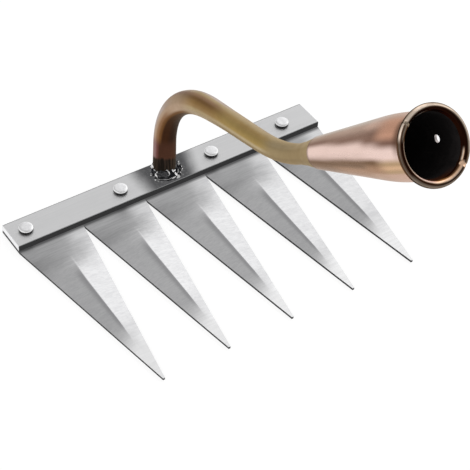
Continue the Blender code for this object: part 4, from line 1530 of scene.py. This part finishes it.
def build_socket(materials, origin, heading):
    """Turn the wall, pit the seam on the rim, drill the nail hole, and stand it on the neck."""
    profile, slots = socket_profile()
    socket = finish_mesh("socket", turned(profile, SOCKET_FACETS, slots), materials, 40)
    roughen_seams(socket)
    cut_and_keep(socket, [nail_hole_cutter(materials)], 40)
    socket.data.transform(Matrix.Translation(origin) @ Matrix.Rotation(heading, 4, "X"))
    return socket


socket_origin = neck_end + heading_vector(neck_heading) * CLEARANCE
copper = build_copper(socket_origin, neck_heading)
rim_copper = build_rim_copper(socket_origin, neck_heading)
socket_scale = build_socket_scale(socket_origin, neck_heading)
drilled_steel = build_drilled_steel()
socket = build_socket([copper, rim_copper, socket_scale, drilled_steel], socket_origin, neck_heading)
socket.visible_glossy = False
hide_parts("handle_socket")
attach(socket, "root")


# Studio. A plain pale floor that runs out into a greyer distance, a pale surround with soft
# brighter areas to the right and the left, and two soft lamps.

CAMERA_PLACE = (-0.464207, -0.717145, 0.803802)
CAMERA_TURN = (44.8237, -2.6385, -33.7236)      # degrees about X, Y and Z
CAMERA_LENS = 125.571
CAMERA_SENSOR = 36.0
FLOOR_RADIUS = 6.0
FLOOR_FACETS = 96
FLOOR_DROP = 0.0004             # keeps the floor clear of the blade's underside
FLOOR_GREY = (0.30, 0.30, 0.30)
FLOOR_GLOW = 0.82
FLOOR_FADE = (0.65, 1.15, 1.0, 0.42)    # from one distance to another, from one strength to another
WHITE = (1.0, 1.0, 1.0)
SURROUND_LEVEL = 0.46
BRIGHT_AREAS = (                # direction, where each is full and where it ends in degrees, strength
    ((0.95, 0.30, 0.20), 15, 75, 0.83), ((-0.9, 0.25, 0.3), 10, 60, 0.30))
LAMP_TARGET = (0, -0.08, 0.05)
LAMP_DISTANCE = 3.0
LAMP_SIZE = 2.2

bpy.context.scene.view_settings.view_transform = "Standard"

camera_data = bpy.data.cameras.new("camera")
camera_data.lens = CAMERA_LENS
camera_data.sensor_width = CAMERA_SENSOR
camera = bpy.data.objects.new("camera", camera_data)
camera.location = CAMERA_PLACE
camera.rotation_euler = [math.radians(angle) for angle in CAMERA_TURN]
bpy.context.collection.objects.link(camera)
bpy.context.scene.camera = camera


def build_floor():
    """A round floor, white near the object and greyer in the distance; it keeps a soft shadow."""
    bm = bmesh.new()
    bmesh.ops.create_circle(bm, cap_ends=True, segments=FLOOR_FACETS, radius=FLOOR_RADIUS)
    bmesh.ops.translate(bm, verts=bm.verts, vec=(0, 0, -FLOOR_DROP))
    floor = add_piece("floor", bm)
    material, tree, _ = start_material("pale_floor")
    tree.nodes.clear()
    tone = ease(tree, length_of(tree, own_place(tree)), *FLOOR_FADE)
    matt = put(tree, "ShaderNodeBsdfDiffuse", Color=FLOOR_GREY)
    path = put(tree, "ShaderNodeLightPath").outputs
    reflected = calc(tree, "MAXIMUM", path["Is Glossy Ray"], path["Is Transmission Ray"])
    seen = calc(tree, "MAXIMUM", path["Is Camera Ray"], reflected)
    glow = put(tree, "ShaderNodeEmission", Color=WHITE, Strength=times(tree, seen, tone, FLOOR_GLOW))
    both = put(tree, "ShaderNodeAddShader")
    feed(tree, both.inputs[0], matt.outputs[0])
    feed(tree, both.inputs[1], glow.outputs[0])
    put(tree, "ShaderNodeOutputMaterial", Surface=both.outputs[0])
    floor.data.materials.append(material)
    return floor


def build_surround():
    """A plain pale world with soft brighter areas."""
    world = bpy.data.worlds.new("surround")
    world.use_nodes = True
    tree = world.node_tree
    background = tree.nodes["Background"]
    direction = put(tree, "ShaderNodeTexCoord").outputs["Generated"]
    level = SURROUND_LEVEL
    for towards, full, end, strength in BRIGHT_AREAS:
        facing = put(tree, "ShaderNodeVectorMath", {"operation": "DOT_PRODUCT"})
        feed(tree, facing.inputs[0], direction)
        feed(tree, facing.inputs[1], Vector(towards).normalized())
        area = ease(tree, facing.outputs["Value"], math.cos(math.radians(end)),
                    math.cos(math.radians(full)), 0.0, strength)
        level = calc(tree, "ADD", level, area)
    feed(tree, background.inputs["Strength"], level)
    feed(tree, background.inputs["Color"], WHITE)
    bpy.context.scene.world = world


def add_softbox(name, towards, power):
    """A square soft lamp that looks at the middle of the object."""
    data = bpy.data.lights.new(name, "AREA")
    data.shape = "SQUARE"
    data.size = LAMP_SIZE
    data.energy = power
    lamp = bpy.data.objects.new(name, data)
    middle = Vector(LAMP_TARGET)
    lamp.location = middle + Vector(towards).normalized() * LAMP_DISTANCE
    lamp.rotation_euler = (lamp.location - middle).to_track_quat("Z", "Y").to_euler()
    bpy.context.collection.objects.link(lamp)


floor = build_floor()
build_surround()
add_softbox("right_softbox", (0.80, 0.40, 0.60), 3.6)
add_softbox("left_softbox", (-0.8, -0.2, 0.9), 3.0)
